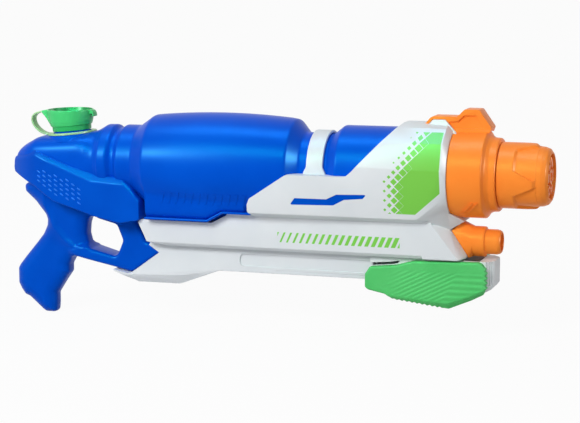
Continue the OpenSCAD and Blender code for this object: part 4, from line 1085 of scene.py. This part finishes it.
# %% Room for the tank, the pump and the web, and the far half
CHAMBER = [(131, -68), (143, -90), (164, -94), (509, -94), (487, -58), (243, -58), (226, -68)]
SHELL_SCREWS = [(350, -49), (440, -61.5), (480, -61.5)]
CHAMBER_HALF = 34.5
COLLAR_R = 50.1
WEB_HALF = 5.1
WEB_SLOT = box(180, -99, 508, -92)
PAST_MIDDLE = box(100, -120, 560, 80)
carve(fork, lofted("tank_room", tank_rings(CLEAR, 96)))
carve(fork, rod("collar_room", 490.0, 512.0, COLLAR_R, 128, ALONG_X))
carve(fork, plate("chamber", CHAMBER, -CHAMBER_HALF, 8.0))
carve(fork, plate("slot", WEB_SLOT, -WEB_HALF, 8.0))
carve(fork, plate("middle", PAST_MIDDLE, MIDDLE, 20.0))
fork_far = twin(fork, "shell_left_skin")
sink_wells(fork_far, SHELL_SCREWS, 80.0)
hand_over(fork, "frame", "white_plastic", SHELL_PRINT, "shell_right", angle=25.0)
hand_over(fork_far, "frame", "white_plastic", SHELL_PRINT, "shell_left", angle=25.0)

# %% [markdown]
# ## Keel, rail and tank strap
# The keel grows out of the finger guard and runs forward as the rail that the pump handle slides on. It is
# a straight moulding, so its side outline is drawn once, given its width and bevelled. The chamfer along
# the keel's foot, the grooves and the web's slot are cut after. The strap is a plain band bent over the
# tank's waist, a little wider at its feet.

# %% Rail
RAIL = [(90, -133), (118, -144), (122, -146), (174, -146), (181, -144), (228, -126), (418, -126),
        (418, -96.5), (165.5, -96.5), (144, -92.9), (140.5, -95), (137.5, -99), (150.9, -108),
        (114.3, -134.6), (109, -135.6), (90, -131.6)]
RAIL_HALF = 22.0
# the upper edge of the keel's chamfer, and the chamfer's section as half width and fall below that edge
KEEL_EDGE = [(85, -138.0), (182, -134.0), (232, -124.8)]
KEEL_CHAMFER = [(RAIL_HALF + 0.02, 0.0), (30.0, 0.0), (30.0, -24.0), (14.5, -12.0)]
GROOVE = arcs([(254, -118.5), (430, -119.5), (430, -104), (254, -104)], 6.5)
RAIL_LINE = box(300, -123.2, 430, -121.8)
RAIL_SLOT = box(340, -130, 420, -90)
rail = plate("pump_rail_skin", RAIL, -RAIL_HALF, RAIL_HALF)
soften(rail, 1.2)
for side in SIDES:
    for ends in (KEEL_EDGE[:2], KEEL_EDGE[1:]):
        chamfer = [(x, side * y, z + fall) for x, z in ends for y, fall in KEEL_CHAMFER]
        carve(rail, hull_of("keel_chamfer", chamfer))
carve_sides(rail, "groove", GROOVE, RAIL_HALF - 1.8, 26.0)
carve_sides(rail, "line", RAIL_LINE, RAIL_HALF - 0.7, 26.0)
carve(rail, plate("slot", RAIL_SLOT, -WEB_HALF, WEB_HALF))
soften(rail, 0.4, 2, 50.0)
hand_over(rail, "frame", "white_plastic", SHELL_WHITE, "pump_rail", angle=25.0)

# %% Strap over the waist
STRAP_INNER = 41.9
STRAP_OUTER = 45.3
STRAP_MID = 353.0
STRAP_HALF = 10.0
FOOT_SPREAD = 3.5
# the strap goes a little further round than half a turn, in degrees
STRAP_PAST = 2.6


def strap_ring(angle):
    from_end = min(angle, 180.0 - angle) + STRAP_PAST
    spread = STRAP_HALF + FOOT_SPREAD * float(1.0 - smooth_step(0.0, 12.0, from_end))
    section = arcs(box(-spread, STRAP_INNER, spread, STRAP_OUTER), [0.5, 0.5, 1.4, 1.4], steps=4)
    turn = math.radians(angle)
    return [(STRAP_MID + x, -r * math.cos(turn), r * math.sin(turn)) for x, r in section]


strap = lofted("tank_strap_skin", [strap_ring(a) for a in np.linspace(-STRAP_PAST, 180.0 + STRAP_PAST, 90)])
hand_over(strap, "frame", "white_plastic", SHELL_WHITE, "tank_strap")

# %% [markdown]
# ## The orange nozzle
# Collar and selector are turned parts, so each is a profile spun round the axis. The selector also has
# shallow finger windows: a tree lets its skin dip where a window is. The face plate is a disc of rings that
# a rule raises and sinks. The sight is a bevelled plate with a sunk panel on each side. The small front
# nozzle is round, but its base is square and cut on a slant to sit on the shell.

# %% Collar
# station, radius and corner rounding
COLLAR = [(505, 47, 0), (505, 49.9, 0), (510.3, 49.9, 0), (510.3, 50.5, 0), (549.0, 50.5, 2.5),
          (552.0, 45.6, 5), (556.0, 42.8, 5), (559.0, 42.6, 1.5), (562.8, 42.3, 1.2), (564, 41.2, 0.8),
          (564, 32.7, 0), (567, 32.7, 0), (567, 25.2, 0), (561, 25.2, 0), (553, 41, 0), (548, 43, 0),
          (528, 43, 0), (528, 47, 0)]
collar = turned("nozzle_collar_skin", rounded(COLLAR), 160)
for side in SIDES:
    grown(collar, bars_tree, side=side, start=(532.0, 0.0, -35.5), count=2, pitch=5.6, wide=2.2, tall=14.0,
          slant=0.95, lift=1.8, material=ORANGE)
hand_over(collar, "frame", "orange_plastic", ORANGE, "nozzle_collar")

# %% A tree for finger windows
SIZES = {"Count": "Int", "Turn": "Float", "Half": "Float", "Flare": "Float", "Start": "Float",
         "Depth": "Float", "Radius": "Float", "Material": "Material"}
window_tree, pen, wire = grove("finger_windows", SIZES)
place = pen.add("GeometryNodeInputPosition", {}, {})
x, y, z = (place.part(axis) for axis in "XYZ")
radius = pen.maths("SQRT", y * y + z * z)
period = pen.maths("DIVIDE", 360.0, wire["Count"])
turned_by = pen.maths("DEGREES", pen.maths("ARCTAN2", z, y)) - wire["Turn"]
from_middle = pen.maths("ABSOLUTE", pen.maths("WRAP", turned_by, period * 0.5, period * -0.5))
half = wire["Half"] + pen.maths("MAXIMUM", x - wire["Start"], 0.0) * wire["Flare"]
in_window = (half - from_middle).step(0.0, 2.0) * (x - wire["Start"]).step(-1.5, 2.5)
dip = pen.maths("MAXIMUM", in_window * wire["Depth"] - wire["Radius"] + radius, 0.0)
shrink = 1.0 - pen.maths("DIVIDE", dip, pen.maths("MAXIMUM", radius, 1.0))
moved = pen.vector(X=x, Y=y * shrink, Z=z * shrink)
dipped = pen.add("GeometryNodeSetPosition", {}, {"Geometry": wire["Geometry"], "Position": moved})
close_tree(pen, dipped, wire["Material"])

# %% Selector with its finger windows
SELECTOR_R = 38.0
AXLE_R = 8.15
NOSE_EDGE = [(604.0, SELECTOR_R, 0), (605.6, 37.6, 1.5), (609.2, 34.4, 1.5), (614.0, 34.0, 4),
             (619.5, 32.0, 4), (622.4, 27.9, 0.8), (622.0, 26.6, 0.6), (620.0, 26.2, 0.6), (609.5, 25.5, 0)]
path = [(567.5, AXLE_R), (567.5, 33.0), (564.5, 33.0), (564.5, 37.4), (564.8, 38.5), (565.6, 39.1),
        (567.4, 39.1), (568.4, 38.3), (570.0, SELECTOR_R), (572.0, SELECTOR_R)]
path += [(x, SELECTOR_R) for x in np.arange(575.0, 604.0, 0.75)]
path += [tuple(p) for p in rounded(NOSE_EDGE, closed=False, steps=5)]
path += [(609.5, 17.0), (609.5, AXLE_R)]
selector = turned("selector_skin", path, 288)
grown(selector, window_tree, count=4, turn=144.0, half=22.5, flare=0.75, start=584.0, depth=3.2,
      radius=SELECTOR_R, material=ORANGE)
hand_over(selector, "selector_head", "orange_plastic", ORANGE, "selector")

# %% Face plate with its outlets
FACE_X = 616.6
FACE_BACK = 609.6
FACE_R = 25.4
FACE_SIDES = 180
DOME = 1.8
HUB_RISE = 3.2
HUB_SINK = 2.4
LUMPS = 6
LUMP_RISE = 3.2
OUTLET_PLACE = 17.6
OUTLET_DEPTH = 6.0
EDGE_FALL = 0.4


def face_height(y, z):
    # a low dome with a hub, and lumps in a ring, of which every other one has an outlet
    r = math.hypot(y, z)
    height = FACE_X + DOME * (1.0 - (r / FACE_R) ** 2) + HUB_RISE * float(1.0 - smooth_step(8.6, 9.2, r))
    height -= HUB_SINK * float(1.0 - smooth_step(5.0, 5.3, r))
    for k in range(LUMPS):
        centre = 360.0 / LUMPS * k
        turn = abs((math.degrees(math.atan2(z, y)) - centre + 180.0) % 360.0 - 180.0)
        lump = (1.0 - smooth_step(19.0, 22.0, turn)) * stretch(r, 12.0, 13.0, 22.2, 23.2)
        height += LUMP_RISE * float(lump)
        if k % 2 == 0:
            away_y = y - OUTLET_PLACE * math.cos(math.radians(centre))
            away_z = z - OUTLET_PLACE * math.sin(math.radians(centre))
            height -= OUTLET_DEPTH * float(1.0 - smooth_step(2.3, 2.7, math.hypot(away_y, away_z)))
    return height


around = [(math.cos(t), math.sin(t)) for t in full_turn(FACE_SIDES)]
verts = []
for r in [0.0, *np.linspace(0.6, 25.0, 72), FACE_R]:
    fall = EDGE_FALL if r == FACE_R else 0.0
    verts += [(face_height(r * c, r * s) - fall, r * c, r * s) for c, s in around]
verts += [(FACE_BACK, FACE_R * c, FACE_R * s) for c, s in around]
rows = len(verts) // FACE_SIDES
back_face = tuple(range((rows - 1) * FACE_SIDES, rows * FACE_SIDES))
face = tidy_mesh(raw("nozzle_face_skin", verts, [back_face] + ring_faces(rows, FACE_SIDES)))
hand_over(face, "selector_head", "orange_plastic", FACE_ORANGE, "nozzle_face")

# %% Sight
# station, height and corner rounding
SIGHT = [(471.5, 51, 0.5), (482.5, 64.5, 2), (485.5, 66.2, 2), (514, 66.3, 2), (519.5, 72, 1),
         (522.5, 75, 2), (539.5, 75, 3), (554, 54.5, 3), (552, 49, 1), (513.5, 49, 1), (500.5, 63, 1),
         (485.6, 63, 1), (475, 51, 0.5)]
SIGHT_HALF = 13.0
PANEL = [(503, 60.6), (515, 61.2), (522, 68.2), (535.5, 68.4), (547.5, 54), (511, 52.8)]
SIGHT_FOOT = arcs(box(511, 40, 552, 51.5), [0, 0, 1.5, 1.5], steps=4)
sight = plate("sight_skin", rounded(SIGHT, steps=4), -SIGHT_HALF, SIGHT_HALF)
soften(sight, 1.0)
foot = plate("foot", SIGHT_FOOT, -SIGHT_HALF - 0.5, SIGHT_HALF + 0.5)
soften(foot, 1.0)
carve(sight, foot, "UNION")
carve_sides(sight, "panel", arcs(PANEL, 1.5, steps=4), SIGHT_HALF - 2.4, 20.0)
carve(sight, rod("collar_room", 440.0, 570.0, COLLAR_R + 0.5, 160, ALONG_X))
soften(sight, 0.35, 2, 50.0)
hand_over(sight, "frame", "orange_plastic", ORANGE, "sight", angle=30.0)

# %% Small front nozzle
TIP_AXIS = -78.0
TIP_R = 17.5
TIP_SIDES = 120
BASE_HALF = 17.4
# the top of the shell's slanting front, as station and height
SLANT_TOP = (505.3, -57.0)
# rows of the round tip: first the offset from the slant and the radius, then the station and the radius
TIP_REAR = [(0.0, 0.0), (0.0, 10.0), (0.0, 16.9), (0.6, 17.4), (1.2, TIP_R)]
TIP = [(543.0, TIP_R), (546.5, 17.4), (547.6, 16.9), (548.0, 16.0), (548.4, 14.9), (549.2, 14.5),
       (560.5, 14.5), (563.5, 13.9), (565.2, 12.9), (566.0, 11.8), (566.0, 11.0), (565.4, 10.5),
       (558.0, 10.5), (558.0, 3.2), (552.0, 3.0), (552.0, 0.0)]


def slant(z):
    return SLANT_TOP[0] + (SLANT_TOP[1] - z) * 2.0 / 3.0


def tip_row(radius, sides=TIP_SIDES):
    return [(radius * math.cos(t), TIP_AXIS + radius * math.sin(t)) for t in full_turn(sides)]


verts = [(slant(z) + off, y, z) for off, r in TIP_REAR for y, z in tip_row(r)]
verts += [(x, y, z) for x, r in TIP for y, z in tip_row(r)]
front_cap = tidy_mesh(raw("front_cap_skin", verts, ring_faces(len(TIP_REAR) + len(TIP), TIP_SIDES)))
# the base runs from a square on the slant to the round tip, and is cut away under the chin
BASE = [(slant(z), y, z) for z in (-95.0, -64.5) for y in (-BASE_HALF, BASE_HALF)]
BASE += [(521.0, -6.0, -55.5), (521.0, 6.0, -55.5)]
BASE += [(534.0, y, z) for y, z in tip_row(TIP_R, 60)]
carve(front_cap, hull_of("base", BASE), "UNION")
room = [(x + 0.3, sign * (half + 0.3), z - 0.4) for x, half, z in CHIN for sign in SIDES]
carve(front_cap, hull_of("chin_room", room))
hand_over(front_cap, "frame", "orange_plastic", ORANGE, "front_cap")

# %% [markdown]
# ## The pump handle
# A white core straddles the rail and carries a soft green pad on each side. The core is cut and bevelled
# like the rail, and open on top, because the rail runs into it when the handle slides back. Its front
# corners are chamfered and grooved. The pads are crowned plates with moulded ribs: slanting lines that turn
# level towards the front, so a wet hand doesn't slip. Front edge and foot are scalloped.

# %% Core
CORE = [(416, -98), (416, -122), (422, -134.5), (434, -139.5), (484, -147.5), (510, -150), (536, -140.5),
        (558, -130.5), (561, -126.5), (561, -98)]
CORE_HALF = 25.5
CHANNEL_HALF = 22.6
CHANNEL = box(400, -128.5, 545, -60)
HOLLOW = [(438, -127.5), (438, -136.5), (464, -143.5), (464, -127.5)]
GAP = [(410, -105.6), (440, -103.2), (452, -101.0), (449, -104.6), (440, -106.4), (410, -109.2)]
# station and half width of the chamfered corner and of its grooves
CORNER = [(551, 27), (563, 27), (563, 13)]
GROOVES = [(553.6, 24.0), (556.0, 21.2), (558.4, 18.4)]
GROOVE_SECTION = [(-0.5, 0.6), (0.5, -0.6), (3.0, 1.6), (2.0, 2.8), (-1.0, -1.0)]
LINK_SCREWS = [(478.0, 0.0), (497.0, 0.0)]
LINK_SEAT = -132.5
LINK_WELL = [(-190.0, 0.0), (-190.0, WELL_R), (LINK_SEAT, WELL_R), (LINK_SEAT, 1.7), (-120.0, 1.7),
             (-120.0, 0.0)]
core = plate("pump_core_skin", arcs(CORE, 2.0, steps=3), -CORE_HALF, CORE_HALF)
soften(core, 1.3)
carve(core, plate("channel", CHANNEL, -CHANNEL_HALF, CHANNEL_HALF))
carve(core, plate("hollow", HOLLOW, -CHANNEL_HALF, CHANNEL_HALF))
carve(core, plate("gap", GAP, -30.0, 30.0))
for side in SIDES:
    carve(core, hull_of("corner", [(x, side * y, z) for x, y in CORNER for z in (-160, -90)]))
    for x, y in GROOVES:
        groove = [(x + a, side * (y + b), z) for a, b in GROOVE_SECTION for z in (-126.0, -90.0)]
        carve(core, hull_of("groove", groove))
for x, y in LINK_SCREWS:
    carve(core, turned("well", LINK_WELL, 32, Matrix.Translation((x, y, 0.0)), False))
soften(core, 0.4, 2, 50.0)
hand_over(core, "pump", "white_plastic", SHELL_WHITE, "pump_core", angle=25.0)

# %% Pads with their ribs
PAD = [(417, -109), (411, -118), (411, -133.5), (415, -136.5), (435, -140.5), (444, -146.5), (484, -151.5),
       (510, -154.5), (536, -143.5), (550.5, -136), (554, -129), (554, -107), (549, -100), (545, -98),
       (469, -100), (448, -106)]
PAD_BACK = 25.55
PAD_FACE = 33.0
# below this line a steep facet runs along the foot
PAD_LOW = [(411, -137), (435, -143), (444, -142.2), (484, -146), (510, -147.5), (536, -137.5), (552, -130),
           (561, -124)]
FACET_SLOPE = 0.9
FACET_DEPTH = 5.1
# the ribs bend on a slanting line through the knee
KNEE = 521.0
KNEE_HEIGHT = -113.0
KNEE_SLANT = 0.55
RIB_PITCH = 8.0
RIB_RISE = 0.65
RIB_SINK = 0.34
RIB_CROWDING = 1.15
BEND = 0.8
PAD_ROLL = (2.4, 2.4)
# depth and pitch of the scallops
FRONT_SCALLOP = (1.3, 5.6)
FOOT_SCALLOP = (0.8, 6.0)
FULL = 2.0 * math.pi


def pad_rim():
    rim = even(arcs(PAD, 3.0), 1.2)
    front = smooth_step(550.0, 552.5, rim[:, 0]) * stretch(rim[:, 1], -132.0, -128.0, -106.0, -103.0)
    rim[:, 0] += FRONT_SCALLOP[0] * front * np.sin(rim[:, 1] * FULL / FRONT_SCALLOP[1])
    under = (1.0 - smooth_step(-146.5, -144.5, rim[:, 1])) * (1.0 - smooth_step(500.0, 506.0, rim[:, 0]))
    rim[:, 1] += FOOT_SCALLOP[0] * under * np.sin(rim[:, 0] * FULL / FOOT_SCALLOP[1])
    return rim


def pad_depth(points, rim):
    x, z = points[:, 0], points[:, 1]
    level = z - KNEE_HEIGHT
    past_knee = x - KNEE - KNEE_SLANT * level
    bend = np.minimum(past_knee, 0.0) * BEND
    wave = 0.5 + 0.5 * np.cos((level * RIB_CROWDING - bend) * FULL / RIB_PITCH)
    above_low = z - on_line(PAD_LOW, x)
    field = (1.0 - smooth_step(-113.5, -110.0, z)) * smooth_step(0.0, 3.0, above_low)
    field = field * smooth_step(434.0, 462.0, x)
    facet = np.clip(-above_low, 0.0, FACET_DEPTH) * FACET_SLOPE
    return -(PAD_FACE - roll(rim, *PAD_ROLL) - facet + RIB_RISE * field * wave - RIB_SINK * field)


pad = crowned("pump_pad_right_skin", pad_rim(), [], pad_depth, 1.25, (0.25, 0.7, 1.4, 2.2), -PAD_BACK)
pad_far = twin(pad, "pump_pad_left_skin")
hand_over(pad, "pump", "green_pad", PAD_GREEN, "pump_pad_right", angle=40.0)
hand_over(pad_far, "pump", "green_pad", PAD_GREEN, "pump_pad_left", angle=40.0)

# %% [markdown]
# ## Filler cap, ring and tether strap
# The cap is a soft green bowl pushed over the neck, with a web at the back for the strap and a lip at the
# front for the thumb. It is turned about the neck's own leaning axis. The strap is a flat band bent in a
# loop from the ring to the cap.

# %% Cap
UPRIGHT = Matrix.Identity(4)
RIM_FALL = 4.0
RIM_WIDE = 56.0
# height, radius and corner rounding
CAP = [(6.3, 19.5, 0), (6.3, 22.5, 0), (2.8, 22.5, 0), (2.8, 23.6, 0.4), (8.4, 24.0, 0.5), (9.2, 25.4, 0.8),
       (14.0, 27.0, 6), (22.0, 28.0, 8), (29.4, 28.6, 0.8), (30.4, 27.9, 0.6), (30.4, 26.8, 0.6),
       (28.5, 26.4, 0.8), (22.6, 24.6, 1), (22.0, 21.0, 2), (22.0, 0.0, 0), (19.1, 0.0, 0), (19.1, 19.5, 0)]
# place along the toy, height and corner rounding
WEB = [(-35.5, 29.3, 0.5), (-35.5, 26.3, 1), (-30.5, 19.5, 4), (-26.5, 11.5, 1), (-22, 11.5, 0), (-22, 27, 0),
       (-26, 30, 2)]
TAB = [(26, 26.4, 0), (30.5, 25.2, 2), (32.3, 22, 2), (32.5, 17.5, 0.5), (31.3, 17.5, 0.5), (30.5, 21, 1),
       (26, 21.4, 0)]
STRAP_SIDE = 6.0
cap = turned("cap_skin", rounded(CAP, steps=5), 128, UPRIGHT)
for vertex in cap.data.vertices:
    # the rim falls towards the thumb lip
    vertex.co.z -= RIM_FALL * (vertex.co.x / RIM_WIDE + 0.5) * float(smooth_step(15.0, 26.0, vertex.co.z))
cap.data.transform(NECK)
for name, outline, rounding in (("web", WEB, 0.8), ("tab", TAB, 0.5)):
    flap = plate(name, rounded(outline, steps=4), -STRAP_SIDE, STRAP_SIDE)
    flap.data.transform(NECK)
    soften(flap, rounding)
    carve(cap, flap, "UNION")
hand_over(cap, "filler_cap", "cap_green", CAP_GREEN, "cap", angle=40.0)

# %% Ring
RING = [(-1.6, 23.3, 0.3), (-1.6, 30.0, 0.7), (0.9, 30.0, 1.0), (0.9, 23.3, 0.4)]
ring = turned("cap_ring_skin", rounded(RING, steps=4), 128, NECK)
hand_over(ring, "tether", "cap_green", TETHER_GREEN, "cap_ring")

# %% A tree that sweeps a flat band, and the strap
SIZES = {"Wide": "Float", "Thick": "Float", "Rounding": "Float", "Material": "Material"}
swept_tree, pen, wire = grove("swept_band", SIZES)
line = pen.add("GeometryNodeMeshToCurve", {}, {"Mesh": wire["Geometry"]})
frame_size = {"Width": wire["Wide"], "Height": wire["Thick"]}
section = pen.add("GeometryNodeCurvePrimitiveQuadrilateral", {}, frame_size)
corners = {"Curve": section, "Count": 4, "Radius": wire["Rounding"]}
section = pen.add("GeometryNodeFilletCurve", {"mode": "POLY"}, corners)
swept = pen.add("GeometryNodeCurveToMesh", {}, {"Curve": line, "Profile Curve": section, "Fill Caps": True})
close_tree(pen, swept, wire["Material"])
# the loop's guide points from ring to cap
LOOP = [np.array(p) for p in [(-29.4, -0.3), (-47.0, -0.3), (-62.5, 28.0), (-35.4, 27.9)]]
route = []
for u in np.linspace(0.0, 1.0, 60):
    weights = ((1 - u) ** 3, 3 * u * (1 - u) ** 2, 3 * u * u * (1 - u), u ** 3)
    at = sum(w * p for w, p in zip(weights, LOOP))
    route.append(NECK @ Vector((at[0], 0.0, at[1])))
band_loop = raw("cap_strap_skin", route, [])
band_loop.data.edges.add(len(route) - 1)
for k, edge in enumerate(band_loop.data.edges):
    edge.vertices = (k, k + 1)
grown(band_loop, swept_tree, wide=2.0 * STRAP_SIDE, thick=2.0, rounding=0.5, material=TETHER_GREEN)
dress(band_loop, TETHER_GREEN, 40.0)
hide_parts("cap_strap")
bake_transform(band_loop)
print("tether strap:", len(band_loop.data.polygons), "faces")

# %% [markdown]
# ## Screws
# Cross-head screws hold the shells, the grip and the web. One screw is turned and gets its cross; a tree
# then puts a copy on each typed place. The far halves have the wells, so the side screws show on the left
# only.

# %% A tree for screws
screw_tree, pen, wire = grove("screws_at_points", {"Screw": "Object", "Material": "Material"})
one = pen.add("GeometryNodeObjectInfo", {}, {"Object": wire["Screw"]}, "Geometry")
placed = pen.add("GeometryNodeInstanceOnPoints", {}, {"Points": wire["Geometry"], "Instance": one})
close_tree(pen, placed, wire["Material"])
SCREW_HEAD = [(0.0, 1.25), (0.0, 3.2), (1.2, 3.2), (1.9, 2.5), (2.2, 1.4), (2.2, 0.0)]
CROSS = ((2.0, 0.45), (0.45, 2.0))


def screw(length, matrix):
    # the head's underside is at zero height and the shaft hangs below it
    shaft = [(-length, 0.0), (-length, 0.6), (1.2 - length, 1.25)]
    done = turned("screw", shaft + SCREW_HEAD, 32, UPRIGHT, False)
    for wide, deep in CROSS:
        cut = [(a * wide, b * deep, c) for a in (-1, 1) for b in (-1, 1) for c in (1.0, 3.0)]
        carve(done, hull_of("cross", cut))
    done.data.transform(matrix)
    return done


side_screw = screw(18.0, Matrix.Translation((0.0, HEAD_SEAT, 0.0)) @ TO_LEFT)
low_screw = screw(14.0, Matrix.Translation((0.0, 0.0, LINK_SEAT)) @ Matrix.Rotation(math.pi, 4, "X"))
SCREWS = [("grip_screws", "frame", side_screw, GRIP_SCREWS),
          ("shell_screws", "frame", side_screw, SHELL_SCREWS),
          ("link_screws", "pump", low_screw, LINK_SCREWS)]
for name, body, tool, places in SCREWS:
    group = raw(name + "_skin", [(x, 0.0, z) for x, z in places], [])
    grown(group, screw_tree, screw=tool, material=STEEL)
    hand_over(group, body, "steel", STEEL, name)
drop(side_screw, low_screw)

# %% [markdown]
# ## The inner pieces
# Cylinder, valves, seals and pipe are out of sight until the toy is opened. Their CAD shapes are already
# right, so they stay and only get their finish: grey plastic, black rubber or steel. The blue inlays in the
# shell's slits are plain plates, so they stay too.

# %% Finishes for the CAD nodes that stay
INNER = [
    (INNER_GREY, ["pump_cylinder", "cylinder_bush", "valve_block", "outlet_pipe", "nozzle_manifold",
                  "pump_link", "piston_rod", "piston"]),
    (RUBBER, ["tank_gasket", "rod_seal", "stop_washer", "inlet_valve", "outlet_valve", "selector_seal",
              "piston_seal", "cap_liner"]),
    (STEEL, ["selector_screw", "link_pin"]),
    (GRIP_BLUE, ["inlay_right", "inlay_left"]),
]
for finish, names in INNER:
    for name in names:
        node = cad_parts[name]
        node.data.materials.clear()
        node.data.materials.append(finish)
print("inner nodes:", sum(len(names) for finish, names in INNER))

# %% [markdown]
# ## Floor, light and camera
# The toy stands as in a studio, on white. A pale floor and an even sky light it softly. One key lamp from
# the upper left adds some shape without a reflection, and four tinted gleams are seen only on glossy
# plastic: they give the long highlights on the tank and the bright edges.

# %% Floor and sky
FLOOR_REACH = 60.0
FLOOR_SHOWN = 0.95
SKY_LIGHT = 0.5
WHITE = (1.0, 1.0, 1.0, 1.0)


def seen_straight(pen):
    # 1 for rays that show the studio itself, straight or mirrored, and 0 for those that only light the toy
    camera_ray, glossy_ray, clear_ray = (pen.add("ShaderNodeLightPath", {}, {}, "Is %s Ray" % kind)
                                         for kind in ("Camera", "Glossy", "Transmission"))
    return pen.maths("MINIMUM", camera_ray + glossy_ray + clear_ray, 1.0)


corners = [(x, y, 0.0) for x, y in box(-FLOOR_REACH, -FLOOR_REACH, FLOOR_REACH, FLOOR_REACH)]
floor = raw("floor", corners, [(0, 1, 2, 3)])
floor.location = (0.0, 0.0, -0.0005)
FLOOR = plastic("floor_white", (0.6, 0.6, 0.6, 1.0), (0.58, 0.58, 0.58, 1.0), 0.9, 0.0, 1.0, gloss=0.0)
floor.data.materials.append(FLOOR)
nodes = FLOOR.node_tree.nodes
pen = Wire(FLOOR.node_tree)
white = pen.add("ShaderNodeEmission", {}, {"Color": WHITE, "Strength": 1.0})
matt_floor = Wire(FLOOR.node_tree, nodes["Principled BSDF"].outputs[0])
shown = pen.add("ShaderNodeMixShader", {}, {0: seen_straight(pen) * FLOOR_SHOWN, 1: matt_floor, 2: white})
FLOOR.node_tree.links.new(shown.socket, nodes["Material Output"].inputs["Surface"])

world = bpy.context.scene.world or bpy.data.worlds.new("studio")
bpy.context.scene.world = world
world.use_nodes = True
sky = world.node_tree.nodes["Background"]
sky.inputs["Color"].default_value = WHITE
level = seen_straight(Wire(world.node_tree)) * (1.0 - SKY_LIGHT) + SKY_LIGHT
world.node_tree.links.new(level.socket, sky.inputs["Strength"])
print("sky light:", SKY_LIGHT)

# %% Lamps
AIM = Vector((0.3, 0.0, 0.17))


def lamp(name, place, size, power, tint=None):
    # the key lamp lights the toy without a reflection; a tinted lamp is only a gleam on glossy plastic
    data = bpy.data.lights.new(name, "AREA")
    data.shape = "RECTANGLE"
    data.size = size[0]
    data.size_y = size[1]
    data.energy = power
    data.color = tint or WHITE[:3]
    obj = linked(name, data)
    obj.location = place
    obj.rotation_euler = (AIM - Vector(place)).to_track_quat("-Z", "Y").to_euler()
    obj.visible_diffuse = tint is None
    obj.visible_glossy = tint is not None


lamp("key", (-0.3, -2.0, 1.3), (0.9, 0.7), 36.0)
lamp("upper_gleam", (0.2, -1.5, 1.3), (1.8, 0.4), 92.0, (0.1, 0.9, 0.5))
lamp("top_gleam", (0.3, -0.2, 2.1), (2.2, 0.5), 110.0, (0.1, 0.65, 1.0))
lamp("front_gleam", (2.6, -0.3, 0.8), (0.35, 0.5), 190.0, (0.9, 0.95, 1.0))
lamp("left_gleam", (-0.9, -1.55, 1.0), (0.3, 0.3), 92.0, (0.9, 0.95, 1.0))
print("lamps:", len(bpy.data.lights))

# %% Camera
FOCUS = Vector((0.310, 0.0, 0.1392))
AROUND = math.radians(17.5)
ABOVE = math.radians(8.5)
AWAY = 2.2
LENS = 114.75
SENSOR = 36.0
view = Vector((math.sin(AROUND) * math.cos(ABOVE), -math.cos(AROUND) * math.cos(ABOVE), math.sin(ABOVE)))
camera_data = bpy.data.cameras.new("camera")
camera_data.sensor_width = SENSOR
camera_data.lens = LENS
camera = linked("camera", camera_data)
camera.location = FOCUS + AWAY * view
camera.rotation_euler = (-view).to_track_quat("-Z", "Y").to_euler()
bpy.context.scene.camera = camera
bpy.context.scene.view_settings.view_transform = "Standard"
print("camera:", [round(v, 3) for v in camera.location])
